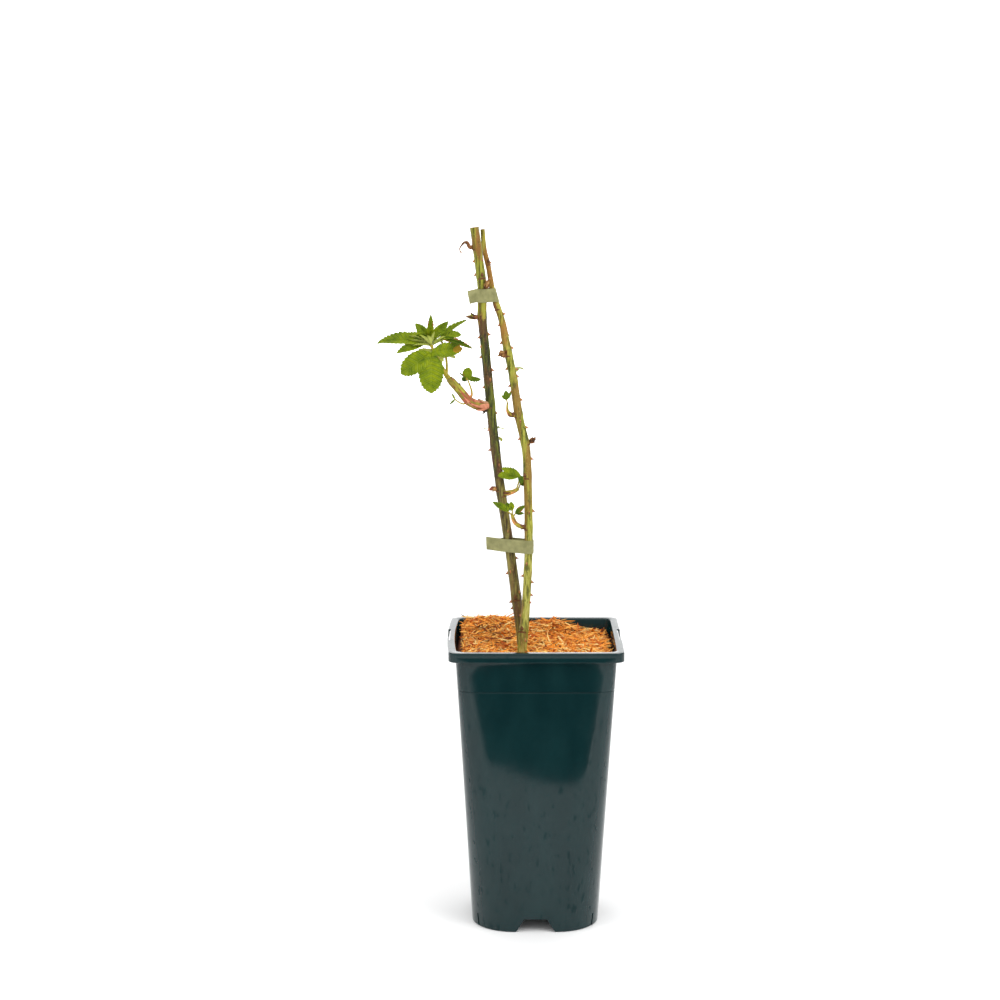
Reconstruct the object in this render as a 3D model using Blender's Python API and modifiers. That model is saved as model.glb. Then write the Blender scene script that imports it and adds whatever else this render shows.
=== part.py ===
"""Potted bramble: two cut, thorny canes with young shoots in a deep square nursery pot.

Metres, Z up. The origin is the middle of the pot's flat underside, and the plant is seen
from -Y, with +X to its right. The canes stand on the compost, pass up through a mulch of
shredded wood, and are held together by two flat ties.
"""

import math
import random

import bmesh
import bpy
from mathutils import Matrix, Vector, noise

MM = 0.001

# Driving dimensions of the pot
RIM_HALF = 75 * MM
POT_HEIGHT = 253 * MM
WALL_HALF_FOOT = 55.5 * MM
WALL_HALF_TOP = 69.4 * MM
CORNER_FOOT = 38 * MM
CORNER_TOP = 8 * MM
WALL = 1.2 * MM
SKIRT_HEIGHT = 8.3 * MM
STEP_HEIGHT = 217.5 * MM
STEP_DEPTH = 0.4 * MM
WALL_LEVELS = (100 * MM, 168 * MM)
FLOOR_HEIGHT = 12 * MM
CENTRE_FOOT_RADIUS = 12 * MM
NOTCH_HEIGHT = 11.6 * MM
NOTCH_HALF_FOOT = 17 * MM
NOTCH_HALF_TOP = 10 * MM
SLIT = (2 * MM, 11.5 * MM)
DRAIN_RADIUS = 6 * MM
RIM_NOTCH = (2.7 * MM, 44 * MM, 3.5 * MM)
SIDE_BOW = (0.3 * MM, 0.5 * MM, 2.2 * MM, 0.5 * MM)

# What fills the pot
COMPOST_TOP = 225 * MM
MULCH_TOP = 243 * MM
MULCH_MOUNDS = (
    (-40 * MM, 60 * MM, 26 * MM, 13 * MM),
    (19 * MM, 62 * MM, 10 * MM, 9 * MM),
    (45 * MM, -20 * MM, 25 * MM, 3 * MM),
)
GAP = 0.3 * MM

# Each cane's course: height, offset right, offset back, thickness, in millimetres
LEFT_CANE = (
    (218, -9.4, -14.8, 9.0),
    (256, -12.4, -13.3, 8.9),
    (290, -17.1, -11.7, 8.7),
    (334, -23.0, -9.7, 8.4),
    (386, -30.8, -8.6, 8.0),
    (434, -36.7, -8.2, 8.0),
    (474, -40.6, -7.7, 7.9),
    (512, -44.2, -7.2, 7.7),
    (532, -46.2, -6.9, 7.8),
    (556, -46.2, -6.6, 7.8),
    (583, -49.3, -6.2, 7.8),
    (609.5, -52.9, -6.0, 7.7),
)
RIGHT_CANE = (
    (218, -12.0, -31.6, 8.6),
    (249, -11.6, -29.0, 8.2),
    (284, -8.6, -24.8, 7.2),
    (335, -6.3, -18.7, 7.1),
    (400, -7.3, -12.5, 7.2),
    (422, -8.9, -10.5, 7.4),
    (447, -14.6, -8.0, 7.4),
    (482, -19.9, -3.4, 7.1),
    (511, -26.0, -0.6, 7.0),
    (529, -29.4, 0.6, 5.9),
    (551, -36.6, 1.4, 5.1),
    (575, -41.0, 1.8, 4.4),
    (590, -44.4, 2.0, 4.2),
    (607.5, -46.0, 2.2, 4.0),
)
CANE_SIDES = 12
CANE_STEP = 9 * MM
NODE_SWELL = 0.09
NODE_REACH = 4 * MM

# Where each cane has a swollen node, in millimetres of height
LEFT_NODES = (289, 380, 422, 458, 503, 533, 568, 592)
RIGHT_NODES = (264, 313, 352, 396, 425, 449, 478, 503, 541, 579)

# Thorns that stand out: height in millimetres, and the way each points, in degrees
LEFT_THORNS = (
    (581, 180), (516, 185), (499, 175), (496, 200), (487, 0), (473, 180), (469, 190),
    (419, 185), (311, 180), (286, 178),
)
RIGHT_THORNS = (
    (534, 0), (511, 180), (505, 0), (497, 195), (489, 180), (487, 5), (474, 180), (461, 0),
    (437, 0), (429, 180), (366, 0), (310, 182), (305, 0), (294, 2),
)
THORN_SPACING = 13 * MM
THORN_TURN = 137.5
THORN_SIZE = (1.9 * MM, 3.0 * MM)

# The ties' tape
TAPE_WIDTH = 11.5 * MM
TAPE = 0.5 * MM
LOWER_TIE = 335 * MM
UPPER_TIE = 551 * MM

LEAF_THICKNESS = 0.5 * MM

PLANT = bpy.data.collections.new("potted_bramble")
CUTTERS = bpy.data.collections.new("cutters")


def clear_scene():
    for item in list(bpy.data.objects):
        bpy.data.objects.remove(item, do_unlink=True)
    bpy.context.scene.collection.children.link(PLANT)
    bpy.context.scene.collection.children.link(CUTTERS)


def material(name, colour, roughness):
    surface = bpy.data.materials.get(name)
    if surface is None:
        surface = bpy.data.materials.new(name)
        surface.use_nodes = True
        shader = surface.node_tree.nodes["Principled BSDF"]
        shader.inputs["Base Color"].default_value = (*colour, 1.0)
        shader.inputs["Roughness"].default_value = roughness
        shader.inputs["Metallic"].default_value = 0.0
        surface.diffuse_color = (*colour, 1.0)
    return surface


def pot_plastic():
    return material("pot_plastic", (0.012, 0.045, 0.048), 0.25)


def compost_peat():
    return material("compost_peat", (0.035, 0.022, 0.014), 0.95)


def mulch_fibre():
    return material("mulch_fibre", (0.72, 0.31, 0.07), 0.9)


def left_bark():
    return material("left_bark", (0.14, 0.14, 0.03), 0.5)


def right_bark():
    return material("right_bark", (0.30, 0.32, 0.05), 0.5)


def tie_tape():
    return material("tie_tape", (0.30, 0.32, 0.19), 0.55)


def shoot_skin():
    return material("shoot_skin", (0.52, 0.20, 0.12), 0.6)


def leaf_green():
    return material("leaf_green", (0.22, 0.40, 0.02), 0.5)


def bud_scale():
    return material("bud_scale", (0.20, 0.09, 0.03), 0.75)


def place(name, mesh, surface, collection=PLANT):
    """Adds a mesh as an object, in its material."""
    mesh.materials.clear()
    if surface is not None:
        mesh.materials.append(surface)
    item = bpy.data.objects.new(name, mesh)
    collection.objects.link(item)
    return item


def mesh_of(builder, name):
    """Turns a bmesh into a mesh, with its faces pointing out."""
    bmesh.ops.recalc_face_normals(builder, faces=builder.faces)
    mesh = bpy.data.meshes.new(name)
    builder.to_mesh(mesh)
    builder.free()
    return mesh


def smooth(item, angle=35):
    item.data.shade_smooth()
    item.data.set_sharp_from_angle(angle=math.radians(angle))


def cut(item, cutter):
    """Takes the cutter's shape out of the item, and keeps the cutter as a wire guide."""
    cutter.hide_render = True
    cutter.display_type = "WIRE"
    boolean = item.modifiers.new(cutter.name, "BOOLEAN")
    boolean.operation = "DIFFERENCE"
    boolean.object = cutter


def evaluated_mesh(item):
    """The item's shape with its modifiers applied, in world space."""
    graph = bpy.context.evaluated_depsgraph_get()
    mesh = bpy.data.meshes.new_from_object(item.evaluated_get(graph))
    mesh.transform(item.matrix_world)
    return mesh


def fuse(name, shapes, surface):
    """One Boolean union of several shapes, applied, with the shapes then removed."""
    if len(shapes) == 1:
        mesh = evaluated_mesh(shapes[0])
    else:
        others = bpy.data.collections.new(name + "_shapes")
        bpy.context.scene.collection.children.link(others)
        for shape in shapes[1:]:
            others.objects.link(shape)
        union = shapes[0].modifiers.new("union", "BOOLEAN")
        union.operation = "UNION"
        union.operand_type = "COLLECTION"
        union.collection = others
        bpy.context.view_layer.update()
        mesh = evaluated_mesh(shapes[0])
        bpy.data.collections.remove(others)
    for shape in shapes:
        bpy.data.objects.remove(shape, do_unlink=True)
    return place(name, mesh, surface)


def loft(name, rings):
    """A closed skin over rings of equally many points, capped at both ends."""
    builder = bmesh.new()
    loops = [[builder.verts.new(point) for point in ring] for ring in rings]
    count = len(loops[0])
    for lower, upper in zip(loops, loops[1:]):
        for index in range(count):
            after = (index + 1) % count
            builder.faces.new((lower[index], lower[after], upper[after], upper[index]))
    builder.faces.new(list(reversed(loops[0])))
    builder.faces.new(loops[-1])
    return mesh_of(builder, name)


# The pot, its compost and its mulch share one outline

SIDE_STEPS = 3
CORNER_STEPS = 6


def mix(low, high, share):
    return low + (high - low) * share


def square_ring(half, corner, height, bow_share=0.0):
    """A square with round corners, anticlockwise from above, each side bowed outwards."""
    flat = half - corner
    ring = []
    for quarter in range(4):
        turn = Matrix.Rotation(math.radians(90 * quarter), 3, "Z")
        for step in range(SIDE_STEPS):
            along = 2 * step / SIDE_STEPS - 1
            bulge = SIDE_BOW[quarter] * bow_share * (1 - along * along)
            ring.append(turn @ Vector((half + bulge, flat * along, height)))
        for step in range(CORNER_STEPS):
            angle = math.radians(90 * step / CORNER_STEPS)
            across = flat + corner * math.cos(angle)
            ring.append(turn @ Vector((across, flat + corner * math.sin(angle), height)))
    return ring


def wall_ring(height, inset, level=None):
    """The outside of the tapering wall at a height, moved in by an inset."""
    share = height / POT_HEIGHT
    half = mix(WALL_HALF_FOOT, WALL_HALF_TOP, share) - inset
    corner = mix(CORNER_FOOT, CORNER_TOP, share) - inset
    return square_ring(half, corner, height if level is None else level, share * share)


def rim_ring(inset, height):
    return square_ring(RIM_HALF - inset, CORNER_TOP - inset, height, 1.0)


def round_ring(radius, height):
    return square_ring(radius, radius, height)


def pot():
    skirt_foot = POT_HEIGHT - SKIRT_HEIGHT
    floor_top = FLOOR_HEIGHT + WALL
    edge = 0.4 * MM
    rings = [
        round_ring(CENTRE_FOOT_RADIUS - WALL, 0),
        round_ring(CENTRE_FOOT_RADIUS, FLOOR_HEIGHT),
        wall_ring(FLOOR_HEIGHT, WALL),
        wall_ring(0, WALL),
        wall_ring(0, edge),
        wall_ring(edge, 0),
        *[wall_ring(level, 0) for level in WALL_LEVELS],
        wall_ring(STEP_HEIGHT - STEP_DEPTH, STEP_DEPTH),
        wall_ring(STEP_HEIGHT, 0),
        wall_ring(POT_HEIGHT - WALL, 0),
        rim_ring(WALL, POT_HEIGHT - WALL),
        rim_ring(WALL, skirt_foot),
        rim_ring(0, skirt_foot),
        rim_ring(0, POT_HEIGHT - edge),
        rim_ring(edge, POT_HEIGHT),
        wall_ring(POT_HEIGHT, WALL - edge),
        wall_ring(POT_HEIGHT - edge, WALL),
        wall_ring(COMPOST_TOP, WALL),
        *[wall_ring(level, WALL) for level in reversed(WALL_LEVELS)],
        wall_ring(floor_top, WALL),
        round_ring(CENTRE_FOOT_RADIUS + WALL, floor_top),
        round_ring(CENTRE_FOOT_RADIUS - 2 * WALL, WALL),
    ]
    item = place("pot", loft("pot", rings), pot_plastic())
    for cutter in drain_notches() + corner_slits() + drain_holes() + rim_notches():
        cut(item, cutter)
    smooth(item)
    return item


def block(name, size, centre, turn=0.0, top_share=1.0):
    """A box-shaped cutter, turned about Z, whose top may be narrower along its X."""
    builder = bmesh.new()
    bmesh.ops.create_cube(builder, size=1.0)
    for vert in builder.verts:
        if vert.co.z > 0:
            vert.co.x *= top_share
        vert.co = Vector((vert.co.x * size[0], vert.co.y * size[1], vert.co.z * size[2]))
    item = place(name, mesh_of(builder, name), None, CUTTERS)
    item.matrix_world = Matrix.Rotation(turn, 4, "Z") @ Matrix.Translation(centre)
    return item


def drain_notches():
    """A wide notch in the foot of each side, which lets water out under the floor."""
    below = 2 * MM
    slope = (NOTCH_HALF_FOOT - NOTCH_HALF_TOP) / NOTCH_HEIGHT
    foot = 2 * (NOTCH_HALF_FOOT + slope * below)
    size = (foot, 12 * MM, NOTCH_HEIGHT + below)
    centre = Vector((0, WALL_HALF_FOOT, (NOTCH_HEIGHT - below) / 2))
    share = 2 * NOTCH_HALF_TOP / foot
    return [block(f"drain_notch_{side}", size, centre, math.radians(90 * side), share)
            for side in range(4)]


def corner_slits():
    """Narrow slits in the rounded corners of the foot, two in front and two behind."""
    width, height = SLIT
    below = 1 * MM
    cutters = []
    for index, angle in enumerate((57, 123, 237, 303)):
        middle = math.radians(angle)
        flat = WALL_HALF_FOOT - CORNER_FOOT
        way = Vector((math.sin(middle), math.cos(middle), 0))
        corner = Vector((math.copysign(flat, way.x), math.copysign(flat, way.y), 0))
        centre = corner + way * CORNER_FOOT
        cutter = block(f"corner_slit_{index}", (width, 5 * MM, height + below), Vector())
        cutter.matrix_world = (Matrix.Translation((centre.x, centre.y, (height - below) / 2))
                               @ Matrix.Rotation(-middle, 4, "Z"))
        cutters.append(cutter)
    return cutters


def drain_holes():
    cutters = []
    for quarter in range(4):
        turn = math.radians(45 + 90 * quarter)
        builder = bmesh.new()
        bmesh.ops.create_cone(builder, cap_ends=True, segments=16, depth=8 * MM,
                              radius1=DRAIN_RADIUS, radius2=DRAIN_RADIUS)
        cutter = place(f"drain_hole_{quarter}", mesh_of(builder, "drain_hole"), None, CUTTERS)
        cutter.location = (34 * MM * math.cos(turn), 34 * MM * math.sin(turn), FLOOR_HEIGHT)
        cutters.append(cutter)
    return cutters


def rim_notches():
    """A shallow notch in the outer edge of the rim, on the left and on the right."""
    depth, length, drop = RIM_NOTCH
    above = 2 * MM
    cutters = []
    for side, bow in ((1, SIDE_BOW[0]), (-1, SIDE_BOW[2])):
        outer = RIM_HALF + bow + above
        inner = RIM_HALF + bow - depth
        size = (outer - inner, length, drop + above)
        centre = Vector((side * (outer + inner) / 2, 0, POT_HEIGHT + (above - drop) / 2))
        cutters.append(block(f"rim_notch_{'right' if side > 0 else 'left'}", size, centre))
    return cutters


def compost():
    clear = WALL + GAP
    bottom = FLOOR_HEIGHT + WALL + GAP
    heights = (bottom, *WALL_LEVELS, COMPOST_TOP)
    item = place("compost", loft("compost", [wall_ring(z, clear) for z in heights]),
                 compost_peat())
    smooth(item)
    return item


def mulch_height(x, y):
    """The mulch lies a little below the rim, and is heaped against the back."""
    height = MULCH_TOP
    for middle_x, middle_y, spread, rise in MULCH_MOUNDS:
        away = math.hypot(x - middle_x, y - middle_y) / spread
        height += rise * math.exp(-away * away / 2)
    return height + 1.2 * MM * noise.noise(Vector((x, y, 0)) * 60)


def mulch():
    clear = WALL + GAP
    bottom = COMPOST_TOP + GAP
    shoulder = MULCH_TOP - 4 * MM
    edge_half = mix(WALL_HALF_FOOT, WALL_HALF_TOP, MULCH_TOP / POT_HEIGHT) - clear
    rings = [wall_ring(bottom, clear), wall_ring(shoulder, clear)]
    for inset in (3, 9, 17, 26, 36, 47, 57, 65):
        half = edge_half - inset * MM
        ring = square_ring(half, half / 4, MULCH_TOP, half / edge_half)
        for point in ring:
            point.z = mulch_height(point.x, point.y)
        rings.append(ring)
    item = place("mulch", loft("mulch", rings), mulch_fibre())
    for name, course in (("left_cane_hole", LEFT_CANE), ("right_cane_hole", RIGHT_CANE)):
        cut(item, cane_hole(name, course))
    smooth(item, 60)
    return item


def cane_hole(name, course):
    """The room that a cane takes in the mulch."""
    low, _, _ = course_at(course, COMPOST_TOP - 4 * MM)
    high, thickness, _ = course_at(course, MULCH_TOP + 14 * MM)
    way = high - low
    radius = thickness / 2 * 1.04 + 0.5 * MM
    builder = bmesh.new()
    bmesh.ops.create_cone(builder, cap_ends=True, segments=16, depth=way.length,
                          radius1=radius + 0.2 * MM, radius2=radius)
    cutter = place(name, mesh_of(builder, name), None, CUTTERS)
    cutter.matrix_world = (Matrix.Translation((low + high) / 2)
                           @ way.to_track_quat("Z", "Y").to_matrix().to_4x4())
    return cutter


# The canes

def course_at(course, height):
    """A cane's middle, thickness and direction at a height, on a smooth curve."""
    rows = [tuple(value * MM for value in row) for row in course]
    last = len(rows) - 1
    index = 0
    while index < last - 1 and rows[index + 1][0] < height:
        index += 1
    start, end = rows[index], rows[index + 1]
    span = end[0] - start[0]
    share = (height - start[0]) / span
    values, slopes = [], []
    for column in (1, 2, 3):
        before, after = rows[max(index - 1, 0)], rows[min(index + 2, last)]
        leave = (end[column] - before[column]) / (end[0] - before[0]) * span
        reach = (after[column] - start[column]) / (after[0] - start[0]) * span
        rise = end[column] - start[column]
        square = 3 * rise - 2 * leave - reach
        cube = leave + reach - 2 * rise
        values.append(start[column] + share * (leave + share * (square + share * cube)))
        slopes.append((leave + share * (2 * square + share * 3 * cube)) / span)
    middle = Vector((values[0], values[1], height))
    return middle, values[2], Vector((slopes[0], slopes[1], 1)).normalized()


def cane_thickness(course, nodes, height):
    """The cane's thickness, which swells at each node."""
    _, thickness, _ = course_at(course, height)
    for node in nodes:
        away = (height - node * MM) / NODE_REACH
        thickness *= 1 + NODE_SWELL * math.exp(-away * away)
    return thickness


def tube(name, points, radii, sides):
    """A closed tube through points, with a radius at each."""
    unit = 1 * MM
    data = bpy.data.curves.new(name, "CURVE")
    data.dimensions = "3D"
    data.bevel_depth = unit
    data.bevel_resolution = (sides - 4) // 2
    data.use_fill_caps = True
    line = data.splines.new("POLY")
    line.points.add(len(points) - 1)
    for point, place_at, radius in zip(line.points, points, radii):
        point.co = (*place_at, 1)
        point.radius = radius / unit
    curve = bpy.data.objects.new(name, data)
    CUTTERS.objects.link(curve)
    bpy.context.view_layer.update()
    mesh = evaluated_mesh(curve)
    bpy.data.objects.remove(curve, do_unlink=True)
    builder = bmesh.new()
    builder.from_mesh(mesh)
    bmesh.ops.remove_doubles(builder, verts=builder.verts, dist=0.002 * MM)
    return place(name, mesh_of(builder, name), None, CUTTERS)


def thorn(course, nodes, height, angle, length):
    """A hooked prickle: a cone flattened sideways, its tip a little below its root."""
    middle, _, way = course_at(course, height)
    radius = cane_thickness(course, nodes, height) / 2
    sink = 0.9 * MM
    out = outward(way, angle)
    pointing = (out - way * 0.28).normalized()
    depth = length + sink
    builder = bmesh.new()
    bmesh.ops.create_cone(builder, cap_ends=True, segments=5, depth=depth,
                          radius1=0.85 * MM, radius2=0.05 * MM)
    bmesh.ops.translate(builder, verts=builder.verts, vec=(0, 0, depth / 2))
    bmesh.ops.scale(builder, verts=builder.verts, vec=(0.75, 1.5, 1))
    side = way.cross(pointing).normalized()
    frame = Matrix((side, pointing.cross(side), pointing)).transposed().to_4x4()
    cone = place("thorn", mesh_of(builder, "thorn"), None, CUTTERS)
    cone.matrix_world = Matrix.Translation(middle + out * (radius - sink)) @ frame
    return cone


def outward(way, angle):
    """A horizontal bearing in degrees, laid square to a limb's direction."""
    bearing = Vector((math.cos(math.radians(angle)), math.sin(math.radians(angle)), 0))
    return (bearing - way * bearing.dot(way)).normalized()


def thorn_places(named, course, start_angle, seed, occupied):
    """The thorns that stand out, then others in a spiral wherever there is room."""
    dice = random.Random(seed)
    rows = [(height * MM, angle, THORN_SIZE[1]) for height, angle in named]
    height = COMPOST_TOP + 30 * MM
    angle = start_angle
    while height < course[-1][0] * MM - 6 * MM:
        length = dice.uniform(*THORN_SIZE)
        rows.append((height, angle % 360, length))
        height += THORN_SPACING * dice.uniform(0.7, 1.3)
        angle += THORN_TURN + dice.uniform(-20, 20)
    kept = []
    for height, angle, length in rows:
        if any(low < height < high and turned(angle, middle) < reach
               for low, high, middle, reach in occupied):
            continue
        if any(abs(height - other) < 5 * MM and turned(angle, way) < 60
               for other, way, _ in kept):
            continue
        kept.append((height, angle, length))
    return kept


def turned(first, second):
    return abs((first - second + 180) % 360 - 180)


def cane(name, course, nodes, named_thorns, start_angle, seed, occupied, surface):
    """A tapering cane from a flat foot on the compost to its cut top, with its thorns."""
    foot = COMPOST_TOP + GAP
    low = foot - 5 * MM
    high = course[-1][0] * MM
    steps = round((high - low) / CANE_STEP)
    heights = [mix(low, high, step / steps) for step in range(steps + 1)]
    points = [course_at(course, height)[0] for height in heights]
    radii = [cane_thickness(course, nodes, height) / 2 for height in heights]
    shaft = tube(name, points, radii, CANE_SIDES)
    flatten_foot(shaft, foot)
    shapes = [shaft]
    for height, angle, length in thorn_places(named_thorns, course, start_angle, seed, occupied):
        shapes.append(thorn(course, nodes, height, angle, length))
    item = fuse(name, shapes, surface)
    smooth(item, 50)
    return item


def flatten_foot(item, height):
    """Cuts a limb off flat at a height, and closes the cut."""
    builder = bmesh.new()
    builder.from_mesh(item.data)
    whole = builder.verts[:] + builder.edges[:] + builder.faces[:]
    result = bmesh.ops.bisect_plane(builder, geom=whole, plane_co=(0, 0, height),
                                    plane_no=(0, 0, 1), clear_inner=True)
    rim = [part for part in result["geom_cut"] if isinstance(part, bmesh.types.BMEdge)]
    bmesh.ops.edgeloop_fill(builder, edges=rim)
    bmesh.ops.recalc_face_normals(builder, faces=builder.faces)
    builder.to_mesh(item.data)
    builder.free()


# The ties

def tie_ring(height, grow, pinch):
    """A belt drawn tight round both canes and the pinch at its left end, seen from above."""
    circles = []
    for course, nodes in ((LEFT_CANE, LEFT_NODES), (RIGHT_CANE, RIGHT_NODES)):
        middle, _, _ = course_at(course, height)
        radius = cane_thickness(course, nodes, height) / 2
        circles.append((middle, radius * 1.02 + grow))
    circles.append((Vector((pinch[0], pinch[1], height)), grow))
    ring = []
    for step in range(TIE_STEPS):
        angle = 2 * math.pi * step / TIE_STEPS
        way = Vector((math.cos(angle), math.sin(angle), 0))
        middle, reach = max(circles, key=lambda circle: circle[0].dot(way) + circle[1])
        ring.append(middle + way * reach)
    return ring


TIE_STEPS = 48


def tie(name, height, pinch, tail):
    """A loop of flat tape round both canes, its two ends pressed together into a tail."""
    low = height - TAPE_WIDTH / 2
    high = height + TAPE_WIDTH / 2
    inner = 0.35 * MM
    outer = inner + TAPE
    rings = [
        tie_ring(low, inner, pinch),
        tie_ring(low, outer, pinch),
        tie_ring(high, outer, pinch),
        tie_ring(high, inner, pinch),
    ]
    builder = bmesh.new()
    loops = [[builder.verts.new(point) for point in ring] for ring in rings]
    for lower, upper in zip(loops, loops[1:] + loops[:1]):
        for index in range(TIE_STEPS):
            after = (index + 1) % TIE_STEPS
            builder.faces.new((lower[index], lower[after], upper[after], upper[index]))
    belt = place(name, mesh_of(builder, name), None, CUTTERS)
    root = Vector((pinch[0], pinch[1], height))
    reach = Vector(tail) * MM
    item = fuse(name, [belt, tail_plate(root, reach)], tie_tape())
    smooth(item, 40)
    return item


def tail_plate(root, reach):
    """The tail, two layers of tape thick and a little narrower, sunk into the loop's end."""
    flat = Vector((reach.x, reach.y, 0)).normalized()
    side = Vector((-flat.y, flat.x, 0)) * TAPE * 0.8
    half = Vector((0, 0, TAPE_WIDTH / 2 - 0.4 * MM))
    start = root - flat * 0.1 * MM
    rings = []
    for middle in (start, root + reach):
        corners = (side + half, side - half, -side - half, half - side)
        rings.append([middle + corner for corner in corners])
    return place("tail", loft("tail", rings), None, CUTTERS)


# Shoots, buds and leaves

def bearing(azimuth, elevation):
    """A direction from a compass angle in degrees, 0 to the right, and a rise in degrees."""
    turn, rise = math.radians(azimuth), math.radians(elevation)
    return Vector((math.cos(turn) * math.cos(rise), math.sin(turn) * math.cos(rise),
                   math.sin(rise)))


def mm(*values):
    return Vector(values) * MM


def bend(start, control, end, share):
    """A point on a curve from start to end that leaves towards control."""
    return start.lerp(control, share).lerp(control.lerp(end, share), share)


def stem(points, start_radius, end_radius, sides=6, steps=5):
    """A tapering stem along a bend through three points."""
    shares = [step / steps for step in range(steps + 1)]
    course = [bend(*points, share) for share in shares]
    radii = [mix(start_radius, end_radius, share) for share in shares]
    return tube("stem", course, radii, sides)


BLADE_ROWS = ((0.0, 0.10), (0.14, 0.58), (0.34, 0.94), (0.56, 1.0), (0.78, 0.66), (0.93, 0.25))
SCALE_ROWS = ((0.0, 0.6), (0.5, 1.0))


def blade(base, way, facing, length, breadth, fold, droop, outline=BLADE_ROWS):
    """A leaflet: a blade folded along its midrib, which bends down towards its tip."""
    side = facing.cross(way).normalized()
    up = way.cross(side).normalized()
    half = length * breadth / 2
    lift = math.tan(math.radians(fold))
    builder = bmesh.new()
    rows = []
    point = base.copy()
    travelled = 0.0
    for share, width in outline + ((1.0, 0.0),):
        angle = math.radians(-droop * share)
        forward = way * math.cos(angle) + up * math.sin(angle)
        raised = up * math.cos(angle) - way * math.sin(angle)
        point = point + forward * (share - travelled) * length
        travelled = share
        reach = width * half * math.cos(math.radians(fold))
        if width == 0.0:
            rows.append([builder.verts.new(point)])
            continue
        edge = raised * reach * lift
        corners = (point - side * reach + edge, point, point + side * reach + edge)
        rows.append([builder.verts.new(corner) for corner in corners])
    for near, far in zip(rows, rows[1:]):
        for index in (0, 1):
            if len(far) == 1:
                builder.faces.new((near[index], near[index + 1], far[0]))
            else:
                builder.faces.new((near[index], near[index + 1], far[index + 1], far[index]))
    bmesh.ops.recalc_face_normals(builder, faces=builder.faces)
    mesh = bpy.data.meshes.new("blade")
    builder.to_mesh(mesh)
    builder.free()
    item = place("blade", mesh, None, CUTTERS)
    thick = item.modifiers.new("thickness", "SOLIDIFY")
    thick.thickness = max(LEAF_THICKNESS, length / 90)
    thick.offset = 0
    bpy.context.view_layer.update()
    solid = evaluated_mesh(item)
    bpy.data.objects.remove(item, do_unlink=True)
    return place("blade", solid, None, CUTTERS)


def touches_limb(points, clearance=0.8 * MM):
    """Whether any point lies in a cane or within the clearance of one."""
    for course, nodes in ((LEFT_CANE, LEFT_NODES), (RIGHT_CANE, RIGHT_NODES)):
        for point in points:
            if point.z > course[-1][0] * MM + clearance:
                continue
            middle, _, _ = course_at(course, point.z)
            room = cane_thickness(course, nodes, point.z) / 2 + clearance
            if (point - middle).xy.length < room:
                return True
    return False


def leaf(start, control, junction, heading, facing, leaflets, petiole=0.6 * MM):
    """A compound leaf: a petiole to its junction, and leaflets spread from the heading.

    Each leaflet is spread, length, breadth, fold and droop. One that would touch a cane
    is left off.
    """
    shapes = [stem((start, control, junction), petiole * 1.25, petiole, sides=4, steps=3)]
    way = bearing(*heading)
    across = bearing(*facing)
    face = (across - way * across.dot(way)).normalized()
    for spread, length, breadth, fold, droop in leaflets:
        out = Matrix.Rotation(math.radians(spread), 3, face) @ way
        root = junction - out * 0.4 * MM
        solid = blade(root, out, face, length * MM, breadth, fold, droop)
        if touches_limb([vert.co for vert in solid.data.vertices]):
            bpy.data.objects.remove(solid, do_unlink=True)
        else:
            shapes.append(solid)
    return shapes


def seat(course, nodes, height, azimuth, gap=GAP):
    """A point just clear of a cane's side, and the way out from it."""
    middle, _, way = course_at(course, height * MM)
    out = outward(way, azimuth)
    radius = cane_thickness(course, nodes, height * MM) / 2
    return middle + out * (radius + gap), out


def bud(name, course, nodes, height, azimuth, rise, length, breadth, seed, scales=4):
    """A scaly bud on a node: a pointed body with a few short dry scales round it."""
    dice = random.Random(seed)
    root, out = seat(course, nodes, height, azimuth)
    way = course_at(course, height * MM)[2]
    tip_way = (out * math.cos(math.radians(rise)) + way * math.sin(math.radians(rise)))
    size = length * MM
    wide = breadth * MM / 2
    points = [root, root + out * size * 0.25, root + out * size * 0.3 + tip_way * size * 0.35,
              root + out * size * 0.3 + tip_way * size * 0.7]
    body = tube(name, points, [wide * 0.8, wide, wide * 0.75, wide * 0.2], 6)
    shapes = [body]
    side = way.cross(out).normalized()
    for index in range(scales):
        angle = math.radians(360 * index / scales + dice.uniform(-25, 25))
        round_way = side * math.cos(angle) + way * math.sin(angle)
        scale_way = (tip_way * 0.9 + round_way * dice.uniform(0.35, 0.8)).normalized()
        base = points[1] + round_way * wide * 0.35
        reach = size * dice.uniform(0.5, 0.8)
        solid = blade(base, scale_way, round_way, reach, 0.75, 20, -15, SCALE_ROWS)
        if touches_limb([vert.co for vert in solid.data.vertices], 0.35 * MM):
            bpy.data.objects.remove(solid, do_unlink=True)
        else:
            shapes.append(solid)
    return fuse(name, shapes, bud_scale())


# The main shoot: a reddish bough from the left cane, with the plant's largest leaves

BOUGH_HEIGHT = 457.5
BOUGH_AZIMUTH = 225
BOUGH_POINTS = (mm(-56, -18.5, 460.5), mm(-65.5, -20, 471), mm(-74.5, -20.5, 481))
BOUGH_RADII = ((0.0, 3.2 * MM), (0.12, 4.3 * MM), (0.6, 3.8 * MM), (1.0, 3.1 * MM))


def limb(root, out, lead, points, steps):
    """A smooth course that leaves its seat straight out, then runs through points."""
    knots = [root + out * lead] + list(points)
    ways = [out]
    for before, after in zip(knots, knots[2:]):
        ways.append((after - before).normalized())
    ways.append((knots[-1] - knots[-2]).normalized())
    course = [root]
    for index in range(len(knots) - 1):
        start, end = knots[index], knots[index + 1]
        reach = (end - start).length
        leave, arrive = ways[index] * reach, ways[index + 1] * reach
        square = 3 * (end - start) - 2 * leave - arrive
        cube = leave + arrive - 2 * (end - start)
        for step in range(steps):
            share = step / steps
            course.append(start + share * (leave + share * (square + share * cube)))
    return course + [knots[-1]]


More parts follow.
